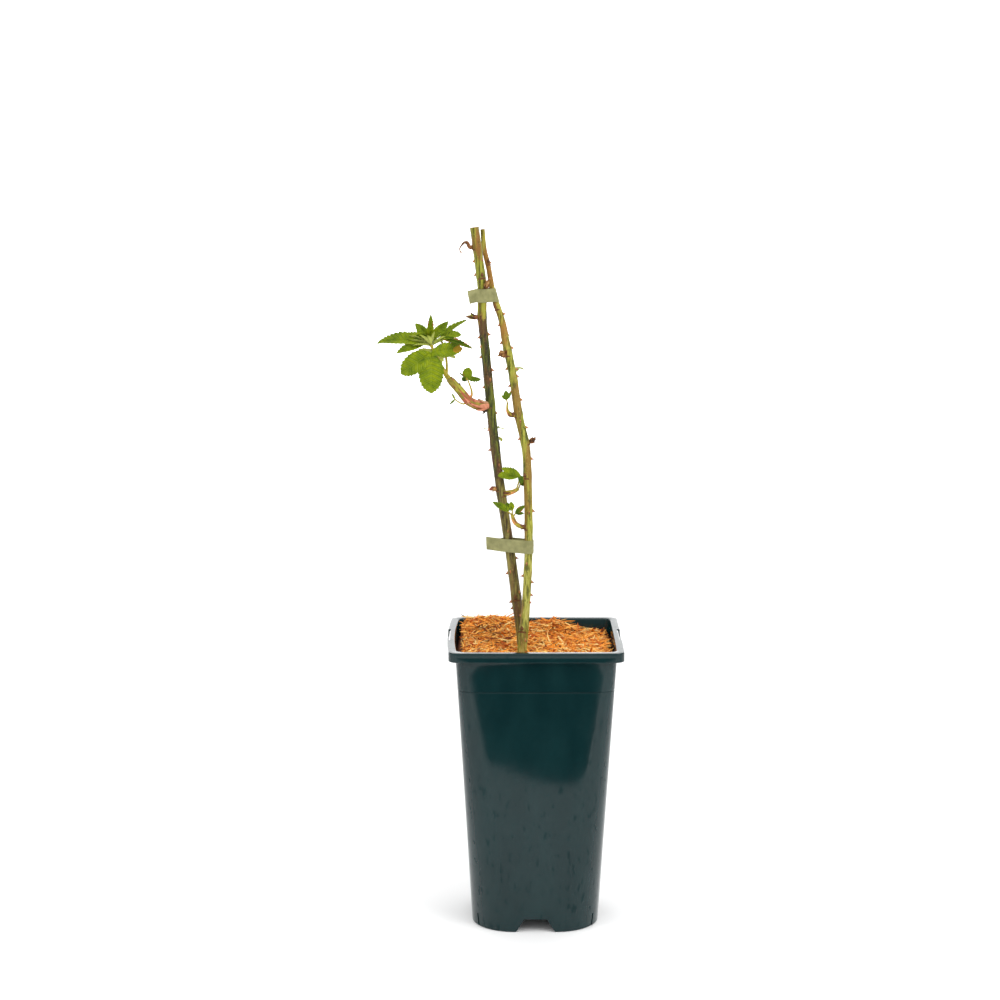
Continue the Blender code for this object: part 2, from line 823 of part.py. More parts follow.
def bough_course():
    root, out = seat(LEFT_CANE, LEFT_NODES, BOUGH_HEIGHT, BOUGH_AZIMUTH)
    return limb(root, out, 1.5 * MM, BOUGH_POINTS, 4)


def bough_radius(share):
    for (start, thick), (end, thin) in zip(BOUGH_RADII, BOUGH_RADII[1:]):
        if share <= end:
            return mix(thick, thin, (share - start) / (end - start))
    return BOUGH_RADII[-1][1]


def main_shoot():
    points = bough_course()
    last = len(points) - 1
    radii = [bough_radius(index / last) for index in range(last + 1)]
    item = fuse("shoot_main", [tube("bough", points, radii, 10)], shoot_skin())
    smooth(item, 50)
    return item


def bough_seat(share, direction):
    """A point just clear of the bough's side, at a share of its length, and the way out."""
    points = bough_course()
    index = round(share * (len(points) - 1))
    way = (points[index + 1] - points[index - 1]).normalized()
    out = (direction - way * direction.dot(way)).normalized()
    return points[index] + out * (bough_radius(index / (len(points) - 1)) + GAP), out


def beyond_bough():
    """Where foliage starts, just clear of the bough's tip, and the way it starts."""
    points = bough_course()
    way = (points[-1] - points[-2]).normalized()
    return points[-1] + way * GAP, way


def foliage_main():
    start, way = beyond_bough()
    turn = start + way * 6 * MM
    tip = mm(-91, -17, 512)
    middle = bend(start, turn, tip, 0.5)
    shapes = [stem((start, turn, tip), 2.4 * MM, 0.9 * MM, steps=6)]
    front = mm(-89.6, -25, 503.4)
    shapes += leaf(middle, middle + mm(0, -3, 1), front, (270, -68), (270, 22), (
        (0, 35, 0.60, 10, 25),
        (-57, 32, 0.56, 14, 22),
        (101, 28, 0.46, 24, 16),
    ), 0.8 * MM)
    left = mm(-96, -18, 510)
    shapes += leaf(tip, tip + mm(-2, 0, 0), left, (184, 18), (280, 52), (
        (0, 42, 0.36, 26, 44),
        (34, 26, 0.36, 26, 30),
        (-32, 22, 0.62, 20, 30),
    ), 0.8 * MM)
    right = mm(-82.3, -14, 515.6)
    shapes += leaf(start + way * 3 * MM, mm(-75, -16, 500), right, (350, 12), (290, 45), (
        (0, 19, 0.52, 22, 12),
        (33, 29, 0.24, 38, 6),
        (-32, 34, 0.20, 38, 8),
    ), 0.9 * MM)
    crown = tip + mm(0, 0.5, 3)
    shapes += leaf(tip, tip + mm(0, 0, 1), crown, (250, 80), (280, 5), (
        (38, 19, 0.46, 24, 4),
        (-6, 22, 0.28, 34, -4),
        (-52, 22, 0.42, 30, 4),
        (75, 14, 0.50, 24, 4),
    ), 0.8 * MM)
    behind = mm(-88, -6, 504)
    shapes += leaf(middle, middle + mm(0, 5, 2), behind, (88, -24), (88, 64), (
        (0, 29, 0.58, 12, 30),
        (-62, 22, 0.52, 16, 24),
        (60, 23, 0.52, 16, 24),
    ), 0.8 * MM)
    return fuse("foliage_main", shapes, leaf_green())


def foliage_bract():
    """A small leaf that stands on the bough's upper side."""
    root, out = bough_seat(0.5, Vector((0.3, -0.2, 1)))
    junction = mm(-59.7, -19, 482.1)
    shapes = [stem((root, root + out * 4 * MM, junction), 1.1 * MM, 0.6 * MM)]
    shapes += leaf(junction - mm(0, 0, 2), junction - mm(0, 0, 1), junction, (300, 62),
                   (270, 10), (
        (0, 10, 0.85, 14, 8),
        (-84, 13, 0.40, 20, 10),
        (72, 8, 0.24, 20, 4),
        (150, 6, 0.80, 14, 10),
    ))
    return fuse("foliage_bract", shapes, leaf_green())


def foliage_stipule():
    """A thin forked leaf on the bough's lower side."""
    root, out = bough_seat(0.5, Vector((-0.4, -0.3, -1)))
    fork = mm(-69.5, -20.5, 463.2)
    shapes = [stem((root, root + out * 2.5 * MM, fork), 0.8 * MM, 0.6 * MM)]
    shapes += leaf(fork + mm(1.2, 0.1, -0.6), fork + mm(0.6, 0.1, -0.3), fork, (178, 15),
                   (265, 20), (
        (58, 7, 0.26, 20, 10),
        (-48, 6.5, 0.28, 20, 6),
    ))
    return fuse("foliage_stipule", shapes, leaf_green())


def small_shoot(name, course, nodes, height, azimuth, tip, thick, thin, leaves):
    """A young shoot on a node: a short stem, and its leaves."""
    root, out = seat(course, nodes, height, azimuth)
    turn = root + out * (tip - root).length * 0.6
    shapes = [stem((root, turn, tip), thick * MM, thin * MM)]
    for share, junction, heading, facing, leaflets in leaves:
        start = bend(root, turn, tip, share)
        way = bend(root, turn, tip, min(share + 0.05, 1.0)) - bend(root, turn, tip, share - 0.05)
        shapes += leaf(start, start + way.normalized() * 1.5 * MM, junction, heading, facing,
                       leaflets)
    return fuse(name, shapes, leaf_green())


def foliage_left_lower():
    return small_shoot("foliage_left_lower", LEFT_CANE, LEFT_NODES, 380, 325,
                       mm(-15, -13.5, 384.5), 2.4, 1.2, (
        (0.75, mm(-13.5, -16.5, 396.5), (180, 4), (280, 40), (
            (0, 20, 0.50, 18, 14),
            (-24, 19, 0.36, 18, 10),
            (100, 8, 0.60, 18, 10),
        )),
        (0.9, mm(-13.6, -11.5, 388.5), (350, 62), (280, 10), (
            (0, 9.5, 0.50, 30, 14),
            (-58, 7, 0.50, 22, 10),
        )),
    ))


def foliage_right_lower():
    return small_shoot("foliage_right_lower", RIGHT_CANE, RIGHT_NODES, 352, 205,
                       mm(-20.5, -21, 363), 1.9, 1.4, (
        (0.95, mm(-24.3, -21.5, 366.2), (180, 33), (280, 40), (
            (0, 16, 0.40, 26, 4),
            (-62, 9, 0.60, 22, 4),
            (-36, 8, 0.50, 22, 4),
        )),
        (0.9, mm(-20.4, -19.5, 367), (120, 70), (275, 20), (
            (0, 8, 0.60, 22, 4),
            (42, 7, 0.55, 22, 4),
        )),
        (0.85, mm(-17.6, -21.5, 364.6), (352, 42), (280, 30), (
            (0, 11, 0.46, 30, 10),
            (-40, 8, 0.40, 26, 10),
        )),
    ))


def foliage_right_upper():
    return small_shoot("foliage_right_upper", RIGHT_CANE, RIGHT_NODES, 449, 190,
                       mm(-24.6, -11.5, 459), 2.3, 0.8, (
        (0.95, mm(-25.4, -11.5, 462), (240, 82), (275, 15), (
            (0, 8.5, 0.62, 18, 4),
            (-34, 8.5, 0.34, 22, 2),
            (44, 6.5, 0.40, 22, 2),
        )),
    ))


def foliage_right_back():
    return small_shoot("foliage_right_back", RIGHT_CANE, RIGHT_NODES, 478, 80,
                       mm(-19, 8.5, 484), 1.8, 0.9, (
        (0.95, mm(-18.5, 11.5, 487), (85, -10), (90, 70), (
            (0, 15, 0.50, 18, 24),
            (-50, 11, 0.46, 18, 18),
            (50, 11, 0.46, 18, 18),
        )),
    ))


def foliage_left_back():
    return small_shoot("foliage_left_back", LEFT_CANE, LEFT_NODES, 422, 95,
                       mm(-36, 5, 430), 2.0, 1.0, (
        (0.95, mm(-36, 9, 434), (92, 5), (90, 80), (
            (0, 19, 0.52, 16, 30),
            (-48, 13, 0.48, 18, 20),
            (48, 13, 0.48, 18, 20),
        )),
        (0.7, mm(-33, 4, 427.5), (60, -30), (60, 50), (
            (0, 9, 0.50, 20, 10),
        )),
    ))


def withered_shoot():
    """A dead, curled shoot near the left cane's cut top."""
    root, out = seat(LEFT_CANE, LEFT_NODES, 593, 195)
    curl = (mm(-59.6, -8.5, 596.6), mm(-62.4, -9, 595.2), mm(-65.2, -9, 591.4),
            mm(-63.8, -8.6, 586.8))
    points = limb(root, out, 1.5 * MM, curl, 2)
    last = len(points) - 1
    radii = [mix(1.9 * MM, 0.5 * MM, min(1.0, index / last * 1.4)) for index in range(last + 1)]
    shapes = [tube("curl", points, radii, 6)]
    shapes.append(blade(points[5], bearing(200, -35), bearing(270, 20), 5 * MM, 0.5, 30, 30))
    return fuse("shoot_withered", shapes, bud_scale())


def buds():
    left = (LEFT_CANE, LEFT_NODES)
    right = (RIGHT_CANE, RIGHT_NODES)
    bud("bud_left_upper", *left, 533, 200, 8, 12, 4.6, 11, scales=5)
    bud("bud_left_top", *left, 559, 310, 72, 11, 4.4, 12)
    bud("bud_left_lower", *left, 385, 200, 18, 6.5, 4.6, 13)
    bud("bud_left_back", *left, 503, 85, 35, 7.5, 4.6, 14)
    bud("bud_right_cluster", *right, 501, 225, 25, 8.5, 6.4, 15, scales=6)
    bud("bud_right_side", *right, 425, 350, 28, 7.5, 5.4, 16, scales=5)
    bud("bud_right_back", *right, 313, 100, 35, 7, 4.4, 17)


def canes():
    """The canes carry no thorn where a shoot, a bud or a tie sits."""
    tie_reach = TAPE_WIDTH / 2 + 3.5 * MM
    ties = [(level - tie_reach, level + tie_reach, 0, 181) for level in (LOWER_TIE, UPPER_TIE)]
    left_shoots = ((593, 195), (559, 310), (533, 200), (503, 85), (457.5, 225), (422, 95),
                   (385, 200), (380, 325))
    right_shoots = ((501, 225), (478, 80), (449, 190), (425, 350), (352, 205), (313, 100))
    left_taken = ties + [shoot_room(*row) for row in left_shoots]
    right_taken = ties + [shoot_room(*row) for row in right_shoots]
    crowded = (COMPOST_TOP, 280 * MM)
    left_taken += [(*crowded, 270, 75), (565 * MM, 612 * MM, 40, 75)]
    right_taken += [(*crowded, 90, 75), (565 * MM, 612 * MM, 220, 75)]
    cane("cane_left", LEFT_CANE, LEFT_NODES, LEFT_THORNS, 250, 21, left_taken, left_bark())
    cane("cane_right", RIGHT_CANE, RIGHT_NODES, RIGHT_THORNS, 300, 22, right_taken, right_bark())


def shoot_room(height, azimuth):
    room = 8 * MM
    return height * MM - room, height * MM + room, azimuth, 75


def main():
    clear_scene()
    pot()
    compost()
    mulch()
    canes()
    tie("tie_lower", LOWER_TIE, mm(-31, -10.5), (-12.3, 2.4, 1.2))
    tie("tie_upper", UPPER_TIE, mm(-52, -9), (-6.4, -1.2, -1.4))
    main_shoot()
    foliage_main()
    foliage_bract()
    foliage_stipule()
    foliage_left_lower()
    foliage_right_lower()
    foliage_right_upper()
    foliage_right_back()
    foliage_left_back()
    withered_shoot()
    buds()
    tidy_guides()


def tidy_guides():
    """Only the Boolean cutters stay as guides."""
    for item in CUTTERS.objects:
        item.hide_render = True
        item.display_type = "WIRE"


main()
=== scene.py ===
import math
import random

import bmesh
import bpy
from mathutils import Matrix, Vector, noise


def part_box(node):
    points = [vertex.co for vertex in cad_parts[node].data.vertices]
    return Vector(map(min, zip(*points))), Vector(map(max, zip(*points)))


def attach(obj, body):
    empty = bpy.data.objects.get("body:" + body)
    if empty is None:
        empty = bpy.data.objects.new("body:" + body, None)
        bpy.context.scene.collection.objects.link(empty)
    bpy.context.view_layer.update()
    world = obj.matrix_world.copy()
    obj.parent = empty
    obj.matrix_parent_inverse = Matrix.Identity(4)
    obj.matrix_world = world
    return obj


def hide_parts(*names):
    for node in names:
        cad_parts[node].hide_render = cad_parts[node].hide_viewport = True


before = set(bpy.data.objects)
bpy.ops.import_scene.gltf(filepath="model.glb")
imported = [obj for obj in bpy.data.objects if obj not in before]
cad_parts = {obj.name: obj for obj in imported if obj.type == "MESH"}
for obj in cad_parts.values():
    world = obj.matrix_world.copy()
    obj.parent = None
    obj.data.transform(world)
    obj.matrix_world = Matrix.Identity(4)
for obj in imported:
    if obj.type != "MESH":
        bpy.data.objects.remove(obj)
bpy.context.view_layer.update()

# The pot is a deep square nursery pot, moulded in one piece from dark blue-green plastic.
# It has a rolled-out rim with a skirt, a raised floor, and notches and slits in its foot.

MM = 0.001
POT_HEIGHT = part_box("pot")[1].z
RIM_HALF = 75 * MM
WALL_HALF_FOOT = 55.5 * MM
WALL_HALF_TOP = 69.4 * MM
CORNER_FOOT = 38 * MM
CORNER_TOP = 8 * MM
WALL = 1.2 * MM
SKIRT_HEIGHT = 8.3 * MM
STEP_HEIGHT = 217.5 * MM
STEP_DEPTH = 0.4 * MM
FLOOR_HEIGHT = 12 * MM
CENTRE_FOOT_RADIUS = 12 * MM
NOTCH_HEIGHT = 11.6 * MM
NOTCH_HALF_FOOT = 17 * MM
NOTCH_HALF_TOP = 10 * MM
SLIT = (2 * MM, 11.5 * MM)
SLIT_BEARINGS = (57, 123, 237, 303)
DRAIN_RADIUS = 6 * MM
DRAIN_REACH = 34 * MM
RIM_NOTCH = (2.7 * MM, 44 * MM, 3.5 * MM)
SIDE_BOW = (0.3 * MM, 0.5 * MM, 2.2 * MM, 0.5 * MM)
SIDE_STEPS = 14
CORNER_STEPS = 16
EDGE_STEPS = 4
PLASTIC_GLOSS = 0.34
SPECK_GLOSS = 0.16


def mix(low, high, share):
    return low + (high - low) * share


def square_ring(half, corner, height, bow_share=0.0):
    """A square with round corners, anticlockwise from above, each side bowed outwards."""
    flat = half - corner
    ring = []
    for quarter in range(4):
        turn = Matrix.Rotation(math.radians(90 * quarter), 3, "Z")
        for step in range(SIDE_STEPS):
            along = 2 * step / SIDE_STEPS - 1
            bulge = SIDE_BOW[quarter] * bow_share * (1 - along * along)
            ring.append(turn @ Vector((half + bulge, flat * along, height)))
        for step in range(CORNER_STEPS):
            angle = math.radians(90 * step / CORNER_STEPS)
            across = flat + corner * math.cos(angle)
            ring.append(turn @ Vector((across, flat + corner * math.sin(angle), height)))
    return ring


def wall_ring(height, inset):
    """The outside of the tapering wall at a height, moved in by an inset."""
    share = height / POT_HEIGHT
    half = mix(WALL_HALF_FOOT, WALL_HALF_TOP, share) - inset
    corner = mix(CORNER_FOOT, CORNER_TOP, share) - inset
    return square_ring(half, corner, height, share * share)


def rim_ring(inset, height):
    return square_ring(RIM_HALF - inset, CORNER_TOP - inset, height, 1.0)


def round_ring(radius, height):
    return square_ring(radius, radius, height)


def rounded_edge(inset, height, radius, start, end):
    """Rings round the rim's edge, on an arc between two angles in degrees."""
    shares = [step / EDGE_STEPS for step in range(EDGE_STEPS + 1)]
    angles = [math.radians(mix(start, end, share)) for share in shares]
    return [rim_ring(inset - radius * math.cos(angle), height + radius * math.sin(angle))
            for angle in angles]


def pot_rings():
    skirt_foot = POT_HEIGHT - SKIRT_HEIGHT
    floor_top = FLOOR_HEIGHT + WALL
    edge = 0.5 * MM
    under_rim = POT_HEIGHT - WALL
    rings = [round_ring(0.5 * MM, 0), round_ring(CENTRE_FOOT_RADIUS - WALL, 0)]
    rings += [round_ring(CENTRE_FOOT_RADIUS, FLOOR_HEIGHT), wall_ring(FLOOR_HEIGHT, WALL)]
    rings += [wall_ring(0, WALL), wall_ring(0, edge)]
    rings += [wall_ring(edge * share, edge * (1 - share)) for share in (0.4, 1.0)]
    rings += [wall_ring(STEP_HEIGHT * share, 0) for share in (0.1, 0.25, 0.4, 0.55, 0.7, 0.85)]
    rings += [wall_ring(STEP_HEIGHT - 2 * STEP_DEPTH, 0)]
    rings += [wall_ring(STEP_HEIGHT - STEP_DEPTH, STEP_DEPTH), wall_ring(STEP_HEIGHT, STEP_DEPTH)]
    rings += [wall_ring(STEP_HEIGHT + STEP_DEPTH, 0), wall_ring(STEP_HEIGHT + 15 * MM, 0)]
    rings += [wall_ring(under_rim - 2 * edge, 0), wall_ring(under_rim, -edge)]
    rings += [rim_ring(WALL + edge, under_rim), rim_ring(WALL, under_rim - 2 * edge)]
    rings += [rim_ring(WALL, skirt_foot + 0.3 * MM)]
    rings += rounded_edge(0.6 * MM, skirt_foot + 0.6 * MM, 0.6 * MM, -90, 0)
    rings += rounded_edge(0.8 * MM, POT_HEIGHT - 0.8 * MM, 0.8 * MM, 0, 90)
    rings += [wall_ring(POT_HEIGHT, WALL - 1.1 * MM)]
    rings += [wall_ring(POT_HEIGHT - drop * MM, WALL - left * MM)
              for drop, left in ((0.2, 0.5), (0.7, 0.1), (1.4, 0.0))]
    rings += [wall_ring(STEP_HEIGHT, WALL), wall_ring(STEP_HEIGHT / 2, WALL)]
    rings += [wall_ring(floor_top, WALL), round_ring(CENTRE_FOOT_RADIUS + WALL, floor_top)]
    rings += [round_ring(CENTRE_FOOT_RADIUS - 2 * WALL, WALL)]
    return rings


def mesh_of(builder, name):
    """Turns a bmesh into a mesh, with its faces pointing out."""
    bmesh.ops.recalc_face_normals(builder, faces=builder.faces)
    mesh = bpy.data.meshes.new(name)
    builder.to_mesh(mesh)
    builder.free()
    return mesh


def skin_over(name, rings):
    """A closed mesh over rings of equally many points, capped at both ends."""
    builder = bmesh.new()
    loops = [[builder.verts.new(point) for point in ring] for ring in rings]
    count = len(loops[0])
    for lower, upper in zip(loops, loops[1:]):
        for index in range(count):
            after = (index + 1) % count
            builder.faces.new((lower[index], lower[after], upper[after], upper[index]))
    builder.faces.new(list(reversed(loops[0])))
    builder.faces.new(loops[-1])
    return mesh_of(builder, name)


def cutter_block(size, placed, top_share=1.0):
    """A box that is cut away: its size, its place, and how wide its top is."""
    builder = bmesh.new()
    bmesh.ops.create_cube(builder, size=1.0)
    for vert in builder.verts:
        if vert.co.z > 0:
            vert.co.x *= top_share
        vert.co = Vector((vert.co.x * size[0], vert.co.y * size[1], vert.co.z * size[2]))
    cutter = bpy.data.objects.new("cutter", mesh_of(builder, "cutter"))
    cutter.matrix_world = placed
    return cutter


def pot_cutters():
    below = 2 * MM
    slope = (NOTCH_HALF_FOOT - NOTCH_HALF_TOP) / NOTCH_HEIGHT
    foot = 2 * (NOTCH_HALF_FOOT + slope * below)
    notch = Matrix.Translation((0, WALL_HALF_FOOT, (NOTCH_HEIGHT - below) / 2))
    cutters = []
    for side in range(4):
        turn = Matrix.Rotation(math.radians(90 * side), 4, "Z")
        cutters.append(cutter_block((foot, 12 * MM, NOTCH_HEIGHT + below), turn @ notch,
                                    2 * NOTCH_HALF_TOP / foot))
        turn = Matrix.Rotation(math.radians(45 + 90 * side), 4, "Z")
        builder = bmesh.new()
        bmesh.ops.create_cone(builder, cap_ends=True, segments=32, depth=8 * MM,
                              radius1=DRAIN_RADIUS, radius2=DRAIN_RADIUS)
        hole = bpy.data.objects.new("cutter", mesh_of(builder, "cutter"))
        hole.matrix_world = turn @ Matrix.Translation((DRAIN_REACH, 0, FLOOR_HEIGHT))
        cutters.append(hole)
    flat = WALL_HALF_FOOT - CORNER_FOOT
    for angle in SLIT_BEARINGS:
        middle = math.radians(angle)
        way = Vector((math.sin(middle), math.cos(middle), 0))
        corner = Vector((math.copysign(flat, way.x), math.copysign(flat, way.y), 0))
        spot = corner + way * CORNER_FOOT + Vector((0, 0, (SLIT[1] - below) / 2))
        placed = Matrix.Translation(spot) @ Matrix.Rotation(-middle, 4, "Z")
        cutters.append(cutter_block((SLIT[0], 5 * MM, SLIT[1] + below), placed))
    depth, length, drop = RIM_NOTCH
    for side, bow in ((1, SIDE_BOW[0]), (-1, SIDE_BOW[2])):
        outer = RIM_HALF + bow + below
        inner = RIM_HALF + bow - depth
        spot = (side * (outer + inner) / 2, 0, POT_HEIGHT + (below - drop) / 2)
        cutters.append(cutter_block((outer - inner, length, drop + below),
                                    Matrix.Translation(spot)))
    return cutters


def in_scene(name, data):
    """A new object of a mesh, a lamp or a camera, linked into the scene."""
    thing = bpy.data.objects.new(name, data)
    bpy.context.scene.collection.objects.link(thing)
    return thing


def cut_away(name, mesh, cutters):
    """The mesh less every cutter, as a new mesh."""
    removed = bpy.data.collections.new("removed")
    bpy.context.scene.collection.children.link(removed)
    for cutter in cutters:
        removed.objects.link(cutter)
    whole = in_scene(name, mesh)
    cut = whole.modifiers.new("cut", "BOOLEAN")
    cut.operation = "DIFFERENCE"
    cut.operand_type = "COLLECTION"
    cut.collection = removed
    bpy.context.view_layer.update()
    graph = bpy.context.evaluated_depsgraph_get()
    result = bpy.data.meshes.new_from_object(whole.evaluated_get(graph))
    for item in [whole, *cutters]:
        bpy.data.objects.remove(item, do_unlink=True)
    bpy.data.collections.remove(removed)
    return result


def add_piece(name, mesh, finishes, replaced=None, angle=35):
    """A smooth-shaded piece of the plant or its pot, which rides on its one body."""
    for finish in finishes:
        mesh.materials.append(finish)
    mesh.shade_smooth()
    mesh.set_sharp_from_angle(angle=math.radians(angle))
    piece = in_scene(name, mesh)
    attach(piece, "root")
    if replaced:
        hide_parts(replaced)


class Finish:
    """A material under construction: its shader, its nodes, and how they are wired."""

    def __init__(self, name, colour, roughness, gloss):
        self.surface = bpy.data.materials.new(name)
        self.surface.use_nodes = True
        self.surface.diffuse_color = (*colour, 1)
        self.nodes = self.surface.node_tree.nodes
        self.links = self.surface.node_tree.links
        self.shader = self.nodes["Principled BSDF"]
        self.shader.inputs["Base Color"].default_value = (*colour, 1)
        self.shader.inputs["Roughness"].default_value = roughness
        self.shader.inputs["Specular IOR Level"].default_value = gloss
        self.where = self.nodes.new("ShaderNodeTexCoord").outputs["Object"]

    def noise(self, scale, detail, stretch=(1, 1, 1)):
        """Noise of so many features a metre, drawn out along an axis of small stretch."""
        placed = self.nodes.new("ShaderNodeMapping")
        placed.inputs["Scale"].default_value = stretch
        cloud = self.nodes.new("ShaderNodeTexNoise")
        cloud.inputs["Scale"].default_value = scale
        cloud.inputs["Detail"].default_value = detail
        self.links.new(self.where, placed.inputs["Vector"])
        self.links.new(placed.outputs["Vector"], cloud.inputs["Vector"])
        return cloud.outputs["Fac"]

    def ramp(self, value, *stops):
        """Colours along a value: each stop is its place and its colour."""
        band = self.nodes.new("ShaderNodeValToRGB")
        elements = band.color_ramp.elements
        elements.remove(elements[1])
        for index, (place, colour) in enumerate(stops):
            element = elements[0] if index == 0 else elements.new(place)
            element.position = place
            element.color = (*colour, 1)
        self.links.new(value, band.inputs["Fac"])
        return band.outputs["Color"]

    def mask(self, value, start, end, strength):
        """Nothing below a value's start, and so much strength above its end."""
        return self.ramp(value, (start, (0, 0, 0)), (end, (strength, strength, strength)))

    def cover(self, share, below, colour):
        """A colour laid over what is below, by a share between 0 and 1."""
        mixer = self.nodes.new("ShaderNodeMix")
        mixer.data_type = "RGBA"
        self.links.new(share, mixer.inputs["Factor"])
        self.links.new(below, mixer.inputs[6])
        mixer.inputs[7].default_value = (*colour, 1)
        return mixer.outputs[2]

    def paint(self, value):
        self.links.new(value, self.shader.inputs["Base Color"])

    def follow(self, socket, value, start, end):
        """A socket that follows a value from one pair of value and setting to another."""
        spread = self.nodes.new("ShaderNodeMapRange")
        spread.inputs["From Min"].default_value, spread.inputs["To Min"].default_value = start
        spread.inputs["From Max"].default_value, spread.inputs["To Max"].default_value = end
        self.links.new(value, spread.inputs["Value"])
        self.links.new(spread.outputs["Result"], self.shader.inputs[socket])

    def sheen(self, value, low, high):
        """Roughness that follows a value between 0 and 1."""
        self.follow("Roughness", value, (0, low), (1, high))

    def bump(self, value, strength, distance):
        relief = self.nodes.new("ShaderNodeBump")
        relief.inputs["Strength"].default_value = strength
        relief.inputs["Distance"].default_value = distance
        self.links.new(value, relief.inputs["Height"])
        self.links.new(relief.outputs["Normal"], self.shader.inputs["Normal"])


def pot_plastic():
    plastic = Finish("pot_plastic", (0.004, 0.021, 0.023), 0.1, PLASTIC_GLOSS)
    grime = plastic.noise(55, 6, (1, 1, 0.35))
    plastic.paint(plastic.ramp(grime, (0.35, (0.003, 0.018, 0.020)),
                               (0.7, (0.005, 0.024, 0.026))))
    specks = plastic.noise(300, 3, (1, 1, 0.4))
    plastic.follow("Specular IOR Level", specks, (0.60, PLASTIC_GLOSS), (0.68, SPECK_GLOSS))
    plastic.sheen(plastic.noise(130, 5, (1, 1, 0.4)), 0.06, 0.13)
    plastic.bump(plastic.noise(22, 2), 0.10, 0.25 * MM)
    return plastic.surface


pot_mesh = cut_away("pot_shell", skin_over("pot_shell", pot_rings()), pot_cutters())
add_piece("pot_shell", pot_mesh, [pot_plastic()], "pot", 30)

# The compost is moist, dark potting mix, one block that fills the pot up to the mulch. It
# shows only in the drain holes, so the block keeps its shape and gets a crumbly surface.


def compost_crumb():
    crumb = Finish("compost_crumb", (0.03, 0.02, 0.013), 0.95, 0.2)
    grain = crumb.noise(900, 8)
    crumb.paint(crumb.ramp(grain, (0.35, (0.012, 0.008, 0.006)), (0.7, (0.06, 0.038, 0.022))))
    crumb.bump(grain, 1.0, 1.5 * MM)
    return crumb.surface


compost_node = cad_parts["compost"]
compost_node.data.materials.clear()
compost_node.data.materials.append(compost_crumb())

# The mulch is shredded, orange-brown wood fibre, spread by hand over the compost. A bed of
# it fills the pot below the rim, heaped against the back, and loose chips lie all over it.

MULCH_TOP = 243 * MM
MULCH_MOUNDS = (
    (-40 * MM, 60 * MM, 26 * MM, 13 * MM),
    (19 * MM, 62 * MM, 10 * MM, 9 * MM),
    (45 * MM, -20 * MM, 25 * MM, 3 * MM),
)
BED_CLEARANCE = 0.3 * MM
BED_DEPTH = 0.8 * MM
BED_INSETS = range(3, 67, 3)
INNER_CORNER = 7 * MM
CHIPS = 9500
CHIP_SEED = 31
CHIP_LENGTHS = (4 * MM, 6 * MM, 8 * MM, 11 * MM, 15 * MM)
CHIP_WIDTHS = (0.6 * MM, 0.8 * MM, 1.1 * MM, 1.5 * MM, 2.2 * MM)
CHIP_COLOURS = (
    ("chip_orange", (0.74, 0.25, 0.025), 0.38),
    ("chip_tan", (0.84, 0.40, 0.08), 0.28),
    ("chip_rust", (0.46, 0.10, 0.010), 0.15),
    ("chip_brown", (0.16, 0.04, 0.008), 0.06),
    ("chip_pale", (0.92, 0.60, 0.22), 0.13),
)


class Growth:
    """Shapes of one kind that are gathered into one mesh, each face in its own finish."""

    def __init__(self):
        self.points = []
        self.faces = []
        self.surfaces = []

    def add(self, points, faces, surface):
        base = len(self.points)
        self.points += points
        self.faces += [tuple(base + index for index in face) for face in faces]
        self.surfaces += surface if isinstance(surface, list) else [surface] * len(faces)

    def piece(self, name, finishes, slot, replaced=None, angle=35):
        """Makes the shapes one closed mesh, and that a piece."""
        rough = bpy.data.meshes.new(name)
        rough.from_pydata(self.points, [], self.faces)
        rough.polygons.foreach_set("material_index", self.surfaces)
        builder = bmesh.new()
        builder.from_mesh(rough)
        bpy.data.meshes.remove(rough)
        add_piece(name, mesh_of(builder, name), finishes, replaced, angle)


def mulch_height(x, y):
    height = MULCH_TOP
    for middle_x, middle_y, spread, rise in MULCH_MOUNDS:
        away = math.hypot(x - middle_x, y - middle_y) / spread
        height += rise * math.exp(-away * away / 2)
    height += 1.2 * MM * noise.noise(Vector((x, y, 0)) * 60)
    return height + 0.9 * MM * noise.noise(Vector((x, y, 0.3)) * 260)


def mulch_bed():
    clear = WALL + BED_CLEARANCE
    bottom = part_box("mulch")[0].z
    edge_half = mix(WALL_HALF_FOOT, WALL_HALF_TOP, MULCH_TOP / POT_HEIGHT) - clear
    rings = [wall_ring(bottom, clear), wall_ring(MULCH_TOP - 5 * MM, clear)]
    for inset in BED_INSETS:
        half = edge_half - inset * MM
        ring = square_ring(half, half / 4, MULCH_TOP, half / edge_half)
        for point in ring:
            point.z = mulch_height(point.x, point.y) - BED_DEPTH
        rings.append(ring)
    return skin_over("mulch_bed", rings)


def pot_half(height, clear):
    """Half the clear width inside the pot at a height."""
    return mix(WALL_HALF_FOOT, WALL_HALF_TOP, min(1, height / POT_HEIGHT)) - WALL - clear


def in_pot(point, clear):
    half = pot_half(point.z, clear)
    sides = abs(point.x), abs(point.y)
    return max(sides) < half and sum(sides) < 2 * half - INNER_CORNER


def kept_in_pot(point):
    """The point, or the nearest one that is still inside the pot's wall."""
    if point.z > POT_HEIGHT:
        return point
    half = pot_half(point.z, BED_CLEARANCE)
    return Vector((min(half, max(-half, point.x)), min(half, max(-half, point.y)), point.z))


